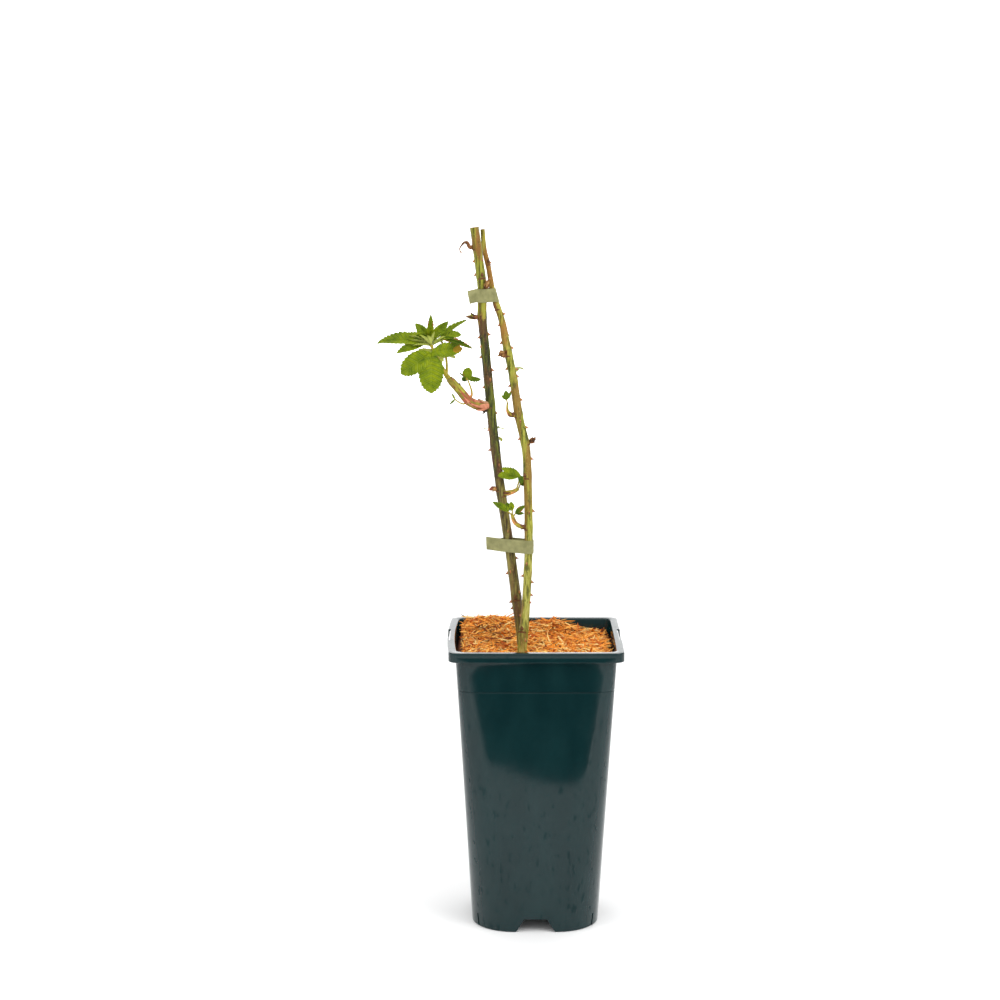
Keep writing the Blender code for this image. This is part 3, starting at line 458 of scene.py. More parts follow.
def add_chip(chips, start, way, normal, length, width, curl, tint):
    """A splinter: a bent strip of four stretches, with a ridge along its top."""
    side = normal.cross(way).normalized()
    sag, swerve = curl
    turn = Matrix.Rotation(sag / 4, 3, side) @ Matrix.Rotation(swerve / 4, 3, normal)
    points, faces = [], []
    point, heading = start.copy(), way.copy()
    for step in range(5):
        taper = 1 - 0.75 * abs(step / 2 - 1) ** 2.2
        half = side * width / 2 * taper
        ridge = point + normal * width * 0.45 * taper
        points += [kept_in_pot(spot) for spot in (point - half, ridge, point + half)]
        heading = turn @ heading
        point = point + heading * length / 4
    for near in range(0, 12, 3):
        far = near + 3
        faces += [(near, near + 1, far + 1, far), (near + 1, near + 2, far + 2, far + 1),
                  (near + 2, near, far, far + 2)]
    faces += [(2, 1, 0), (12, 13, 14)]
    chips.add(points, faces, tint)


def mulch_chips():
    dice = random.Random(CHIP_SEED)
    chips = Growth()
    reach = WALL_HALF_TOP - WALL - 2.5 * MM
    shares = [share for _, _, share in CHIP_COLOURS]
    for _ in range(CHIPS):
        x, y = dice.uniform(-reach, reach), dice.uniform(-reach, reach)
        ground = mulch_height(x, y)
        by_wall = max(0, max(abs(x), abs(y)) / reach - 0.93) * 20 * MM
        start = Vector((x, y, ground + dice.random() ** 2 * 2.2 * MM - 0.8 * MM - by_wall))
        length = dice.choice(CHIP_LENGTHS) * dice.uniform(0.7, 1.2)
        turn = dice.uniform(0, math.tau)
        rise = dice.gauss(0.02, 0.11)
        if dice.random() < (0.07 if ground > MULCH_TOP + 4 * MM else 0.02):
            rise = dice.uniform(0.2, 0.6)
        way = Vector((math.cos(turn), math.sin(turn), rise)).normalized()
        if not in_pot(start + way * length, 1.2 * MM):
            way.x, way.y = -way.x, -way.y
        end = start + way * length
        if not in_pot(end, 0.8 * MM):
            continue
        sunk = mulch_height(end.x, end.y) - end.z
        if sunk > 2.2 * MM:
            way = (end + Vector((0, 0, sunk)) - start).normalized()
        normal = Vector((dice.gauss(0, 0.35), dice.gauss(0, 0.35), 1))
        normal = (normal - way * normal.dot(way)).normalized()
        width = dice.choice(CHIP_WIDTHS) * dice.uniform(0.8, 1.2)
        curl = (dice.gauss(0.1, 0.3), dice.gauss(0, 0.35))
        tint = dice.choices(range(len(shares)), shares)[0]
        add_chip(chips, start, way, normal, length, width, curl, tint)
    return chips


def natural(name, colour, roughness=0.6, scale=700, spread=0.25, gloss=0.3):
    """A natural surface of one colour, a little uneven."""
    skin = Finish(name, colour, roughness, gloss)
    cloud = skin.noise(scale, 4)
    dark = tuple(part * (1 - spread) for part in colour)
    light = tuple(min(1, part * (1 + spread)) for part in colour)
    skin.paint(skin.ramp(cloud, (0.32, dark), (0.68, light)))
    skin.bump(cloud, 0.3, 0.15 * MM)
    return skin.surface


chip_finishes = [natural(name, colour, 0.85) for name, colour, _ in CHIP_COLOURS]
# The bed under the chips takes the darkest chip brown: painted shade in the gaps between them.
add_piece("mulch_bed", mulch_bed(), chip_finishes[3:4], "mulch", 60)
mulch_chips().piece("mulch_chips", chip_finishes, "mulch_fibre")

# The canes are last year's woody stems, cut off at the top. Each is angular, swells at its
# nodes, and carries hooked thorns of its own bark. The left one is older and browner.

LEFT_COURSE = (
    (218, -9.4, -14.8, 9.0),
    (256, -12.4, -13.3, 8.9),
    (290, -17.1, -11.7, 8.7),
    (334, -23.0, -9.7, 8.4),
    (386, -30.8, -8.6, 8.0),
    (434, -36.7, -8.2, 8.0),
    (474, -40.6, -7.7, 7.9),
    (512, -44.2, -7.2, 7.7),
    (532, -46.2, -6.9, 7.8),
    (556, -46.2, -6.6, 7.8),
    (583, -49.3, -6.2, 7.8),
    (609.5, -52.9, -6.0, 7.7),
)
RIGHT_COURSE = (
    (218, -12.0, -31.6, 8.6),
    (249, -11.6, -29.0, 8.2),
    (284, -8.6, -24.8, 7.2),
    (335, -6.3, -18.7, 7.1),
    (400, -7.3, -12.5, 7.2),
    (422, -8.9, -10.5, 7.4),
    (447, -14.6, -8.0, 7.4),
    (482, -19.9, -3.4, 7.1),
    (511, -26.0, -0.6, 7.0),
    (529, -29.4, 0.6, 5.9),
    (551, -36.6, 1.4, 5.1),
    (575, -41.0, 1.8, 4.4),
    (590, -44.4, 2.0, 4.2),
    (607.5, -46.0, 2.2, 4.0),
)
LEFT = (LEFT_COURSE, (289, 380, 422, 458, 503, 533, 568, 592))
RIGHT = (RIGHT_COURSE, (264, 313, 352, 396, 425, 449, 478, 503, 541, 579))
NODE_SWELL = 0.09
NODE_REACH = 4 * MM
CANE_SIDES = 30
CANE_STEP = 1.5 * MM
THORN_SPACING = 13 * MM
THORN_GAP = 5 * MM
THORN_STEPS = 10
SPIRAL_TURN = 137.5
THORN_SIZE = (1.9 * MM, 3.0 * MM)
LEFT_THORNS = (
    (581, 180), (516, 185), (499, 175), (496, 200), (487, 0), (473, 180), (469, 190),
    (419, 185), (311, 180), (286, 178),
)
RIGHT_THORNS = (
    (534, 0), (511, 180), (505, 0), (497, 195), (489, 180), (487, 5), (474, 180), (461, 0),
    (437, 0), (429, 180), (366, 0), (310, 182), (305, 0), (294, 2),
)
LEFT_SHOOTS = ((593, 195), (559, 310), (533, 200), (503, 85), (457.5, 225), (422, 95),
               (385, 200), (380, 325))
RIGHT_SHOOTS = ((501, 225), (478, 80), (449, 190), (425, 350), (352, 205), (313, 100))
LEFT_EYES = ((289, 262), (568, 285))
RIGHT_EYES = ((264, 248), (396, 238), (541, 232), (579, 300))
CROWDED = (225 * MM, 280 * MM)
CUT_ENDS = (565 * MM, 612 * MM)
LOWER_TIE = 335 * MM
UPPER_TIE = 551 * MM
TAPE_WIDTH = 11.5 * MM


def cubic_terms(rise, leave, arrive):
    """The square and cube terms of a curve with this rise and these slopes at its ends."""
    return 3 * rise - 2 * leave - arrive, leave + arrive - 2 * rise


def course_at(course, height):
    """A cane's middle, thickness and direction at a height, on a smooth curve."""
    rows = [tuple(value * MM for value in row) for row in course]
    last = len(rows) - 1
    index = 0
    while index < last - 1 and rows[index + 1][0] < height:
        index += 1
    start, end = rows[index], rows[index + 1]
    span = end[0] - start[0]
    share = (height - start[0]) / span
    values, slopes = [], []
    for column in (1, 2, 3):
        before, after = rows[max(index - 1, 0)], rows[min(index + 2, last)]
        leave = (end[column] - before[column]) / (end[0] - before[0]) * span
        arrive = (after[column] - start[column]) / (after[0] - start[0]) * span
        square, cube = cubic_terms(end[column] - start[column], leave, arrive)
        values.append(start[column] + share * (leave + share * (square + share * cube)))
        slopes.append((leave + share * (2 * square + share * 3 * cube)) / span)
    middle = Vector((values[0], values[1], height))
    return middle, values[2], Vector((slopes[0], slopes[1], 1)).normalized()


def cane_radius(cane, height):
    """Half the cane's thickness, which swells at each node."""
    course, nodes = cane
    _, thickness, _ = course_at(course, height)
    for node in nodes:
        away = (height - node * MM) / NODE_REACH
        thickness *= 1 + NODE_SWELL * math.exp(-away * away)
    return thickness / 2


def outward(way, angle):
    """A compass bearing in degrees, 0 to the right, laid square to a limb's direction."""
    flat = Vector((math.cos(math.radians(angle)), math.sin(math.radians(angle)), 0))
    return (flat - way * flat.dot(way)).normalized()


def add_tube(growth, rings, surface, close_start=True, close_end=True):
    """A skin over rings of points. The surface is one finish, or one for each ring's faces."""
    points = [point for ring in rings for point in ring]
    count = len(rings[0])
    faces, surfaces = [], []
    for row in range(len(rings) - 1):
        low, high = row * count, (row + 1) * count
        for index in range(count):
            after = (index + 1) % count
            faces.append((low + index, low + after, high + after, high + index))
            surfaces.append(surface(row, index) if callable(surface) else surface)
    for closed, row in ((close_start, 0), (close_end, len(rings) - 1)):
        if closed:
            base = row * count
            points.append(sum(rings[row], Vector()) / count)
            faces += [(base + index, base + (index + 1) % count, len(points) - 1)
                      for index in range(count)]
            surfaces += [surfaces[0 if row == 0 else -1]] * count
    growth.add(points, faces, surfaces)


def cane_ring(cane, height, seed, inset=0.0):
    """The bark's outline: five soft corners, with ridges and grain that run up the cane."""
    middle, _, way = course_at(cane[0], height)
    radius = cane_radius(cane, height)
    across = outward(way, 0)
    behind = way.cross(across)
    ring = []
    for index in range(CANE_SIDES):
        angle = math.tau * index / CANE_SIDES
        x, y = math.cos(angle), math.sin(angle)
        corner = 0.03 * math.cos(5 * angle + seed + height * 14)
        ridge = 0.04 * noise.noise(Vector((3 * x, 3 * y, height * 45 + seed)))
        grain = 0.022 * noise.noise(Vector((9 * x, 9 * y, height * 260 + seed)))
        reach = radius * (1 + corner + ridge + grain) - inset
        ring.append(middle + (across * x + behind * y) * reach)
    return ring


def add_shaft(growth, cane, seed, zones):
    """The cane's bark in its colour zones, and its cut top: ragged bark, wood and pith."""
    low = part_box("compost")[1].z + 0.3 * MM
    high = cane[0][-1][0] * MM
    steps = round((high - low) / CANE_STEP)
    heights = [mix(low, high - 0.6 * MM, step / steps) for step in range(steps + 1)]

    def zone(row, index):
        angle = math.tau * index / CANE_SIDES
        spot = Vector((math.cos(angle), math.sin(angle), heights[row] * 90 + seed))
        level = heights[row] + 26 * MM * noise.noise(spot)
        return next(surface for top, surface in zones if level < top * MM)

    add_tube(growth, [cane_ring(cane, height, seed) for height in heights], zone, True, False)
    lip = cane_ring(cane, high - 0.6 * MM, seed)
    ragged = cane_ring(cane, high - 0.4 * MM, seed, 0.1 * MM)
    for index, point in enumerate(ragged):
        point.z += 0.8 * MM * noise.noise(Vector((index * 0.9, seed, 0)))
    wood = cane_ring(cane, high - 1.0 * MM, seed, 0.7 * MM)
    pith = cane_ring(cane, high - 0.8 * MM, seed, 1.9 * MM)
    add_tube(growth, [lip, ragged], CUT_BARK, False, False)
    add_tube(growth, [ragged, wood], CUT_WOOD, False, False)
    add_tube(growth, [wood, pith], PITH, False, True)


def turned(first, second):
    return abs((first - second + 180) % 360 - 180)


def taken_room(shoots, end_bearing, foot_bearing):
    """Where no thorn grows: under the ties, round the shoots, and where canes meet."""
    tie_reach = TAPE_WIDTH / 2 + 3.5 * MM
    rows = [(level - tie_reach, level + tie_reach, 0, 181) for level in (LOWER_TIE, UPPER_TIE)]
    rows += [(height * MM - 8 * MM, height * MM + 8 * MM, way, 75) for height, way in shoots]
    return rows + [(*CROWDED, foot_bearing, 75), (*CUT_ENDS, end_bearing, 75)]


def thorn_places(named, course, start_angle, seed, occupied):
    """The thorns that stand out, then others in a spiral wherever there is room."""
    dice = random.Random(seed)
    rows = [(height * MM, angle, THORN_SIZE[1]) for height, angle in named]
    height = 255 * MM
    angle = start_angle
    while height < course[-1][0] * MM - 6 * MM:
        length = dice.uniform(*THORN_SIZE)
        rows.append((height, angle % 360, length))
        height += THORN_SPACING * dice.uniform(0.7, 1.3)
        angle += SPIRAL_TURN + dice.uniform(-20, 20)
    kept = []
    for height, angle, length in rows:
        free = not any(low < height < high and turned(angle, middle) < reach
                       for low, high, middle, reach in occupied)
        if free and not any(abs(height - other) < THORN_GAP and turned(angle, way) < 60
                            for other, way, _ in kept):
            kept.append((height, angle, length))
    return kept


def add_thorn(growth, cane, height, angle, length):
    """A prickle that grows from a long low foot along the cane and hooks down to a point."""
    middle, _, way = course_at(cane[0], height)
    radius = cane_radius(cane, height)
    out = outward(way, angle)
    side = way.cross(out)
    rings = []
    for step in range(THORN_STEPS):
        share = step / (THORN_STEPS - 1)
        narrow = (1 - share) ** 1.5
        tall = (0.35 + 1.75 * narrow) * MM * (1 - share) ** 0.4
        wide = (0.25 + 0.55 * narrow) * MM * (1 - share) ** 0.4
        centre = middle + out * (radius - 0.5 * MM + (length + 0.5 * MM) * share)
        centre = centre - way * length * (0.30 * share + 0.22 * share ** 3)
        rings.append([centre + side * wide * math.cos(math.tau * index / 10)
                      + way * tall * math.sin(math.tau * index / 10) for index in range(10)])
    half_way = THORN_STEPS // 2
    add_tube(growth, rings, lambda row, index: THORN_FOOT if row < half_way else THORN_TIP)


def frames_along(course):
    """Each point of a course with its way and two cross directions, without twist."""
    frames = []
    across = (course[1] - course[0]).orthogonal().normalized()
    for index, point in enumerate(course):
        before, after = course[max(index - 1, 0)], course[min(index + 1, len(course) - 1)]
        way = (after - before).normalized()
        across = (across - way * across.dot(way)).normalized()
        frames.append((point, way, across, way.cross(across)))
    return frames


def add_stem(growth, course, radii, sides, surface, rough=0.0, seed=0.0):
    """A round stem along a course, with a radius at each point, uneven by a share."""
    rings = []
    for index, (point, _, across, behind) in enumerate(frames_along(course)):
        ring = []
        for side in range(sides):
            x = math.cos(math.tau * side / sides)
            y = math.sin(math.tau * side / sides)
            bulge = rough * noise.noise(Vector((2 * x, 2 * y, index * 0.3 + seed)))
            ring.append(point + (across * x + behind * y) * radii[index] * (1 + bulge))
        rings.append(ring)
    add_tube(growth, rings, surface)


def add_plate(growth, top, bottom, columns, surface_of, rim_surface):
    """Closes two sheets of points, one over the other, into a thin plate."""
    count = len(top)
    rows = count // columns
    faces, surfaces = [], []
    for row in range(rows - 1):
        for column in range(columns - 1):
            a = row * columns + column
            b = a + columns
            faces += [(a, a + 1, b + 1, b), (count + b, count + b + 1, count + a + 1, count + a)]
            surfaces += surface_of(row, column)
    rim = list(range(columns))
    rim += [row * columns + columns - 1 for row in range(1, rows)]
    rim += [count - columns + column for column in reversed(range(columns - 1))]
    rim += [row * columns for row in reversed(range(1, rows - 1))]
    for near, far in zip(rim, rim[1:] + rim[:1]):
        faces.append((near, count + near, count + far, far))
        surfaces.append(rim_surface)
    growth.add(top + bottom, faces, surfaces)


def add_scale(growth, course, radii, first, last, turn, spread, flare, surface, thick=0.14 * MM):
    """A papery scale that wraps a stem between two places on its course, counted in points,
    and stands off it at its pointed tip by its flare."""
    frames = frames_along(course)
    top, bottom = [], []
    columns = 7
    for row in range(9):
        along = row / 8
        place = mix(first, last, along)
        low = max(0, min(int(place), len(course) - 2))
        point = course[low] + (course[low + 1] - course[low]) * (place - low)
        _, _, across, behind = frames[low]
        radius = mix(radii[low], radii[low + 1], min(1, max(0, place - low)))
        half = spread * (1 - along ** 1.8) ** 0.7 * (0.75 + 0.25 * math.sin(math.pi * along))
        for column in range(columns):
            angle = math.radians(turn) + max(0.05, half) * (2 * column / (columns - 1) - 1)
            out = across * math.cos(angle) + behind * math.sin(angle)
            spot = point + out * (radius + 0.1 * MM + flare * along ** 2)
            top.append(spot + out * thick / 2)
            bottom.append(spot - out * thick / 2)
    add_plate(growth, top, bottom, columns, lambda row, column: (surface, surface), surface)


def turn_on(course, angle):
    """A compass bearing as a turn from the first cross direction at a course's start."""
    _, way, across, behind = frames_along(course)[0]
    out = outward(way, angle)
    return math.degrees(math.atan2(out.dot(behind), out.dot(across)))


def add_scar(growth, cane, height, angle):
    """The brown ridge that last year's leaf left just below a node."""
    heights = [height * MM + lift * MM for lift in (-3.2, -2.6, -2.0, -1.4)]
    course = [course_at(cane[0], level)[0] for level in heights]
    radii = [cane_radius(cane, level) for level in heights]
    turn = turn_on(course, angle)
    add_scale(growth, course, radii, 0, 3, turn, 1.1, 0.5 * MM, SCAR, 0.3 * MM)


def add_eye(growth, cane, height, angle):
    """A dormant bud, pressed to the cane above its scar."""
    middle, _, way = course_at(cane[0], height * MM)
    out = outward(way, angle)
    base = middle + out * (cane_radius(cane, height * MM) - 0.5 * MM)
    course = [base, base + (out + way * 0.5) * 0.7 * MM, base + (out * 0.8 + way) * 1.6 * MM,
              base + (out * 0.9 + way * 1.4) * 2.3 * MM]
    radii = [1.3 * MM, 1.4 * MM, 0.9 * MM, 0.15 * MM]
    add_stem(growth, course, radii, 12, SCAR)


def bark(name, dark, green, light, flush):
    """Cane bark: long streaks, flushed brown in places, with dark blotches and pale pores."""
    skin = Finish(name, green, 0.5, 0.3)
    streaks = skin.noise(520, 5, (1, 1, 0.10))
    pale = tuple(min(1, part * 1.5 + 0.04) for part in light)
    colour = skin.ramp(streaks, (0.38, dark), (0.5, green), (0.62, light))
    for scale, detail, stretch, start, end, strength, laid_on in (
            (85, 4, 0.3, 0.50, 0.60, 0.85, flush),
            (300, 3, 0.5, 0.60, 0.68, 0.7, dark),
            (1500, 3, 0.4, 0.62, 0.70, 0.5, pale)):
        patches = skin.mask(skin.noise(scale, detail, (1, 1, stretch)), start, end, strength)
        colour = skin.cover(patches, colour, laid_on)
    skin.paint(colour)
    skin.sheen(streaks, 0.38, 0.62)
    skin.bump(streaks, 0.6, 0.25 * MM)
    return skin.surface


BARK, BARK_FOOT, BARK_TOP, CUT_BARK, CUT_WOOD, PITH, SCAR = range(7)
THORN_FOOT, THORN_TIP = range(2)
cut_finishes = [
    natural("cut_bark", (0.20, 0.075, 0.022), 0.85),
    natural("cut_wood", (0.40, 0.24, 0.10), 0.9),
    natural("cut_pith", (0.50, 0.38, 0.20), 0.95),
    natural("leaf_scar", (0.15, 0.065, 0.022), 0.8, 900, 0.4),
]
thorn_finishes = [natural("thorn_foot", (0.42, 0.17, 0.06), 0.5),
                  natural("thorn_tip", (0.12, 0.045, 0.035), 0.45)]
left_barks = [
    bark("left_bark", (0.016, 0.016, 0.003), (0.06, 0.07, 0.006), (0.14, 0.15, 0.012),
         (0.10, 0.038, 0.013)),
    bark("left_bark_foot", (0.05, 0.032, 0.009), (0.14, 0.115, 0.022), (0.24, 0.20, 0.045),
         (0.13, 0.055, 0.018)),
    bark("left_bark_top", (0.07, 0.065, 0.006), (0.20, 0.205, 0.014), (0.33, 0.33, 0.035),
         (0.24, 0.10, 0.02)),
]
right_barks = [
    bark("right_bark", (0.06, 0.065, 0.005), (0.21, 0.215, 0.016), (0.36, 0.35, 0.045),
         (0.24, 0.13, 0.022)),
    bark("right_bark_foot", (0.10, 0.10, 0.012), (0.29, 0.28, 0.035), (0.44, 0.42, 0.10),
         (0.22, 0.12, 0.03)),
    bark("right_bark_top", (0.11, 0.09, 0.008), (0.29, 0.25, 0.022), (0.42, 0.36, 0.06),
         (0.30, 0.13, 0.022)),
]
for side, cane, barks, shoots, eyes, named, start_angle, seed, bearings, zones in (
        ("left", LEFT, left_barks, LEFT_SHOOTS, LEFT_EYES, LEFT_THORNS, 250, 21, (40, 270),
         ((395, BARK_FOOT), (528, BARK), (700, BARK_TOP))),
        ("right", RIGHT, right_barks, RIGHT_SHOOTS, RIGHT_EYES, RIGHT_THORNS, 300, 22, (220, 90),
         ((345, BARK_FOOT), (500, BARK), (700, BARK_TOP)))):
    shaft = Growth()
    add_shaft(shaft, cane, seed, zones)
    for height, angle in eyes + shoots:
        add_scar(shaft, cane, height, angle)
    for height, angle in eyes:
        add_eye(shaft, cane, height, angle)
    shaft.piece(f"cane_{side}_shaft", barks + cut_finishes, f"{side}_bark", f"cane_{side}", 50)
    thorns = Growth()
    occupied = taken_room(shoots, *bearings)
    for height, angle, length in thorn_places(named, cane[0], start_angle, seed, occupied):
        add_thorn(thorns, cane, height, angle, length)
    thorns.piece(f"cane_{side}_thorns", thorn_finishes, f"{side}_bark", angle=50)

# The ties are soft, grey-green plastic tape, drawn round both canes and pressed together
# into a flat tail of two layers, cut off with scissors.

TAPE = 0.5 * MM
TAPE_CLEARANCE = 0.30 * MM
TAIL_ROWS = 13
TAIL_COLUMNS = 7
TIE_STEPS = 144
TIE_ROWS = 9
TAPE_FACE, TAPE_GLINT_EDGE = range(2)


def tie_ring(height, grow, pinch):
    """A belt drawn tight round both canes and the pinch at its left end, seen from above."""
    circles = [(course_at(cane[0], height)[0], cane_radius(cane, height) * 1.05 + grow)
               for cane in (LEFT, RIGHT)]
    circles.append((Vector((pinch[0], pinch[1], height)), grow))
    ring = []
    for step in range(TIE_STEPS):
        angle = math.tau * step / TIE_STEPS
        way = Vector((math.cos(angle), math.sin(angle), 0))
        middle, reach = max(circles, key=lambda circle: circle[0].dot(way) + circle[1])
        ring.append(middle + way * reach)
    return ring


def add_belt(growth, height, pinch):
    """The band itself: a crowned outer face, a plain inner one, and the edges between."""
    inner = TAPE_CLEARANCE
    half = TAPE_WIDTH / 2
    rings = []
    for row in range(TIE_ROWS):
        share = 2 * row / (TIE_ROWS - 1) - 1
        crown = 0.15 * MM * (1 - share * share) + 0.08 * MM * math.sin(9 * share)
        rings.append(tie_ring(height + half * share, inner + TAPE + crown - 0.1 * MM, pinch))
    for row in reversed(range(TIE_ROWS)):
        share = 2 * row / (TIE_ROWS - 1) - 1
        rings.append(tie_ring(height + half * share * 0.985, inner, pinch))
    rings.append([point.copy() for point in rings[0]])
    # The top edge is in the lighter edge finish, a painted highlight along the tape's top.
    add_tube(growth, rings, lambda row, index: TAPE_FACE if row != TIE_ROWS - 1 else TAPE_GLINT_EDGE,
             False, False)


def add_tail(growth, height, pinch, tail, slant):
    """Two layers of tape from the pinch outwards, a little apart at their slanted end."""
    root = Vector((pinch[0], pinch[1], height))
    reach = Vector(tail) * MM
    flat = Vector((reach.x, reach.y, 0)).normalized()
    sideways = Vector((-flat.y, flat.x, 0))
    for layer in (-1, 1):
        top, bottom = [], []
        for row in range(TAIL_ROWS):
            share = row / (TAIL_ROWS - 1)
            for column in range(TAIL_COLUMNS):
                level = column / (TAIL_COLUMNS // 2) - 1
                apart = layer * TAPE * (0.55 + 0.7 * share ** 2)
                wave = 0.25 * MM * share * math.sin(3 * level + layer)
                spot = root - flat * 0.5 * MM + reach * share + flat * slant * level * share
                spot = spot + sideways * (apart + wave)
                spot.z += level * TAPE_WIDTH / 2 * (1 - 0.03 * share)
                top.append(spot + sideways * TAPE * 0.4)
                bottom.append(spot - sideways * TAPE * 0.4)
        # The tails' rims are in the lighter edge finish, painted glints on the cut tape.
        add_plate(growth, top, bottom, TAIL_COLUMNS,
                  lambda row, column: (TAPE_FACE, TAPE_FACE), TAPE_GLINT_EDGE)


def tie_tape():
    tape = Finish("tie_tape", (0.25, 0.24, 0.095), 0.42, 0.4)
    cloud = tape.noise(160, 4)
    tape.paint(tape.ramp(cloud, (0.35, (0.20, 0.195, 0.075)), (0.65, (0.30, 0.29, 0.12))))
    tape.bump(tape.noise(240, 3, (1, 1, 0.4)), 0.5, 0.3 * MM)
    return tape.surface


# The lighter, glossier edge finish is a painted highlight: glints on the belt's top edge and the
# tails' rims.
tape_finishes = [tie_tape(), natural("tie_tape_glint_edge", (0.46, 0.45, 0.27), 0.35, 300, 0.15, 0.5)]
for name, height, pinch, tail, slant in (
        ("tie_lower", LOWER_TIE, (-31 * MM, -10.5 * MM), (-12.3, 2.4, 1.2), 0.2 * MM),
        ("tie_upper", UPPER_TIE, (-52 * MM, -9 * MM), (-6.4, -1.2, -1.4), 1.1 * MM)):
    tape = Growth()
    add_belt(tape, height, pinch)
    add_tail(tape, height, pinch, tail, slant)
    tape.piece(f"{name}_tape", tape_finishes, "tie_tape", name, 40)

# The main shoot is this spring's growth from a bud on the left cane: a soft, thick stem,
# pink and papery near the cane, olive further out, that the largest leaves grow on from.

BOUGH_HEIGHT = 457.5
BOUGH_BEARING = 225
BOUGH_RADII = ((0.0, 3.2 * MM), (0.12, 4.3 * MM), (0.6, 3.8 * MM), (1.0, 3.1 * MM))
BOUGH_SIDES = 28
BOUGH_SCALES = 70
PINK_SHARE = 0.42
STUB_PLACE = 18
GAP = 0.3 * MM
SKIN_PINK, SKIN_RED, SKIN_OLIVE, SKIN_BROWN, SKIN_YELLOW, SKIN_DRY, SKIN_DARK = range(7)


def mm(*values):
    return Vector(values) * MM


BOUGH_POINTS = (mm(-56, -18.5, 460.5), mm(-65.5, -20, 471), mm(-74.5, -20.5, 481))


def seat(cane, height, angle, gap=GAP):
    """A point just clear of a cane's side, and the way out from it."""
    middle, _, way = course_at(cane[0], height * MM)
    out = outward(way, angle)
    return middle + out * (cane_radius(cane, height * MM) + gap), out


def limb(root, out, lead, points, steps):
    """A smooth course that leaves its seat straight out, then runs through points."""
    knots = [root + out * lead] + list(points)
    ways = [out]
    for before, after in zip(knots, knots[2:]):
        ways.append((after - before).normalized())
    ways.append((knots[-1] - knots[-2]).normalized())
    course = [root]
    for index in range(len(knots) - 1):
        start, end = knots[index], knots[index + 1]
        reach = (end - start).length
        leave, arrive = ways[index] * reach, ways[index + 1] * reach
        square, cube = cubic_terms(end - start, leave, arrive)
        for step in range(steps):
            share = step / steps
            course.append(start + share * (leave + share * (square + share * cube)))
    return course + [knots[-1]]


def bough_radius(share):
    for (start, thick), (end, thin) in zip(BOUGH_RADII, BOUGH_RADII[1:]):
        if share <= end:
            return mix(thick, thin, (share - start) / (end - start))
    return BOUGH_RADII[-1][1]


def bough_course(steps):
    root, out = seat(LEFT, BOUGH_HEIGHT, BOUGH_BEARING)
    return limb(root, out, 1.5 * MM, BOUGH_POINTS, steps)


def main_shoot():
    """The stem in its streaked, papery skin, with old bud scales and a dead stub on it."""
    dice = random.Random(5)
    growth = Growth()
    course = bough_course(9)
    last = len(course) - 1
    radii = [bough_radius(index / last) * 0.95 for index in range(last + 1)]
    add_stem(growth, course, radii, BOUGH_SIDES, SKIN_OLIVE, 0.10)
    for index in range(BOUGH_SCALES):
        first = dice.uniform(0, 0.86) * last
        share = first / last
        length = dice.uniform(0.12, 0.34) * last
        skins, weights = (SKIN_OLIVE, SKIN_BROWN, SKIN_YELLOW, SKIN_RED), (4, 5, 4, 2)
        if share < PINK_SHARE:
            skins, weights = (SKIN_PINK, SKIN_RED, SKIN_DRY, SKIN_BROWN), (6, 4, 2, 2)
        surface = dice.choices(skins, weights)[0]
        spread = dice.uniform(0.16, 0.5)
        flare = dice.choice((0, 0, 0.1, 0.2, 0.5)) * MM
        add_scale(growth, course, radii, first, min(last - 0.2, first + length),
                  dice.uniform(0, 360), spread, flare, surface, 0.1 * MM + 0.1 * MM * (index % 3))
    for turn, reach, flare, surface in (
            (95, 7, 2.0, SKIN_PINK), (20, 5, 1.2, SKIN_DRY), (150, 6, 1.0, SKIN_PINK),
            (210, 7, 1.4, SKIN_DRY), (265, 6, 2.2, SKIN_BROWN), (320, 6, 1.4, SKIN_DRY)):
        add_scale(growth, course, radii, 0.2, reach, turn, 0.55, flare * MM, surface, 0.25 * MM)
    root, out = seat(LEFT, BOUGH_HEIGHT - 4.5, BOUGH_BEARING - 10, 0.1 * MM)
    for step, (drop, sweep_left) in enumerate(((-0.3, -1.2), (-0.5, -0.7), (-0.2, -1.9),
                                               (-0.7, -0.2))):
        tip = root + (out + Vector((sweep_left, 0.2, drop))).normalized() * (3.5 + step) * MM
        twig = [root.lerp(tip, share) for share in (0, 0.35, 0.7, 1)]
        add_stem(growth, twig, [0.9 * MM, 0.7 * MM, 0.6 * MM, 0.2 * MM], 8, SKIN_DARK, 0.4, step)
    foot = course[STUB_PLACE]
    stub = [foot + mm(0, 0, 2.5), foot + mm(-0.4, -0.4, 5), foot + mm(-0.8, -0.5, 7.5)]
    add_stem(growth, stub, [0.7 * MM, 0.5 * MM, 0.6 * MM], 8, SKIN_DARK, 0.4, 2)
    return growth


skin_finishes = [
    natural("shoot_pink", (0.56, 0.22, 0.12), 0.6, 420, 0.25),
    natural("shoot_red", (0.36, 0.10, 0.045), 0.6, 420, 0.3),
    natural("shoot_olive", (0.25, 0.20, 0.022), 0.55, 350, 0.3),
    natural("shoot_brown", (0.13, 0.06, 0.018), 0.7, 420, 0.35),
    natural("shoot_yellow", (0.36, 0.34, 0.03), 0.55, 420, 0.2),
    natural("shoot_dry", (0.50, 0.28, 0.15), 0.8, 600, 0.3),
    natural("shoot_dark", (0.05, 0.028, 0.014), 0.85, 600, 0.4),
]
main_shoot().piece("shoot_main_stem", skin_finishes, "shoot_skin", "shoot_main", 50)

# The leaves are young compound leaves: three toothed leaflets on a stalk, pleated along
# their side veins, fresh yellow-green above and paler below, here and there edged with red.

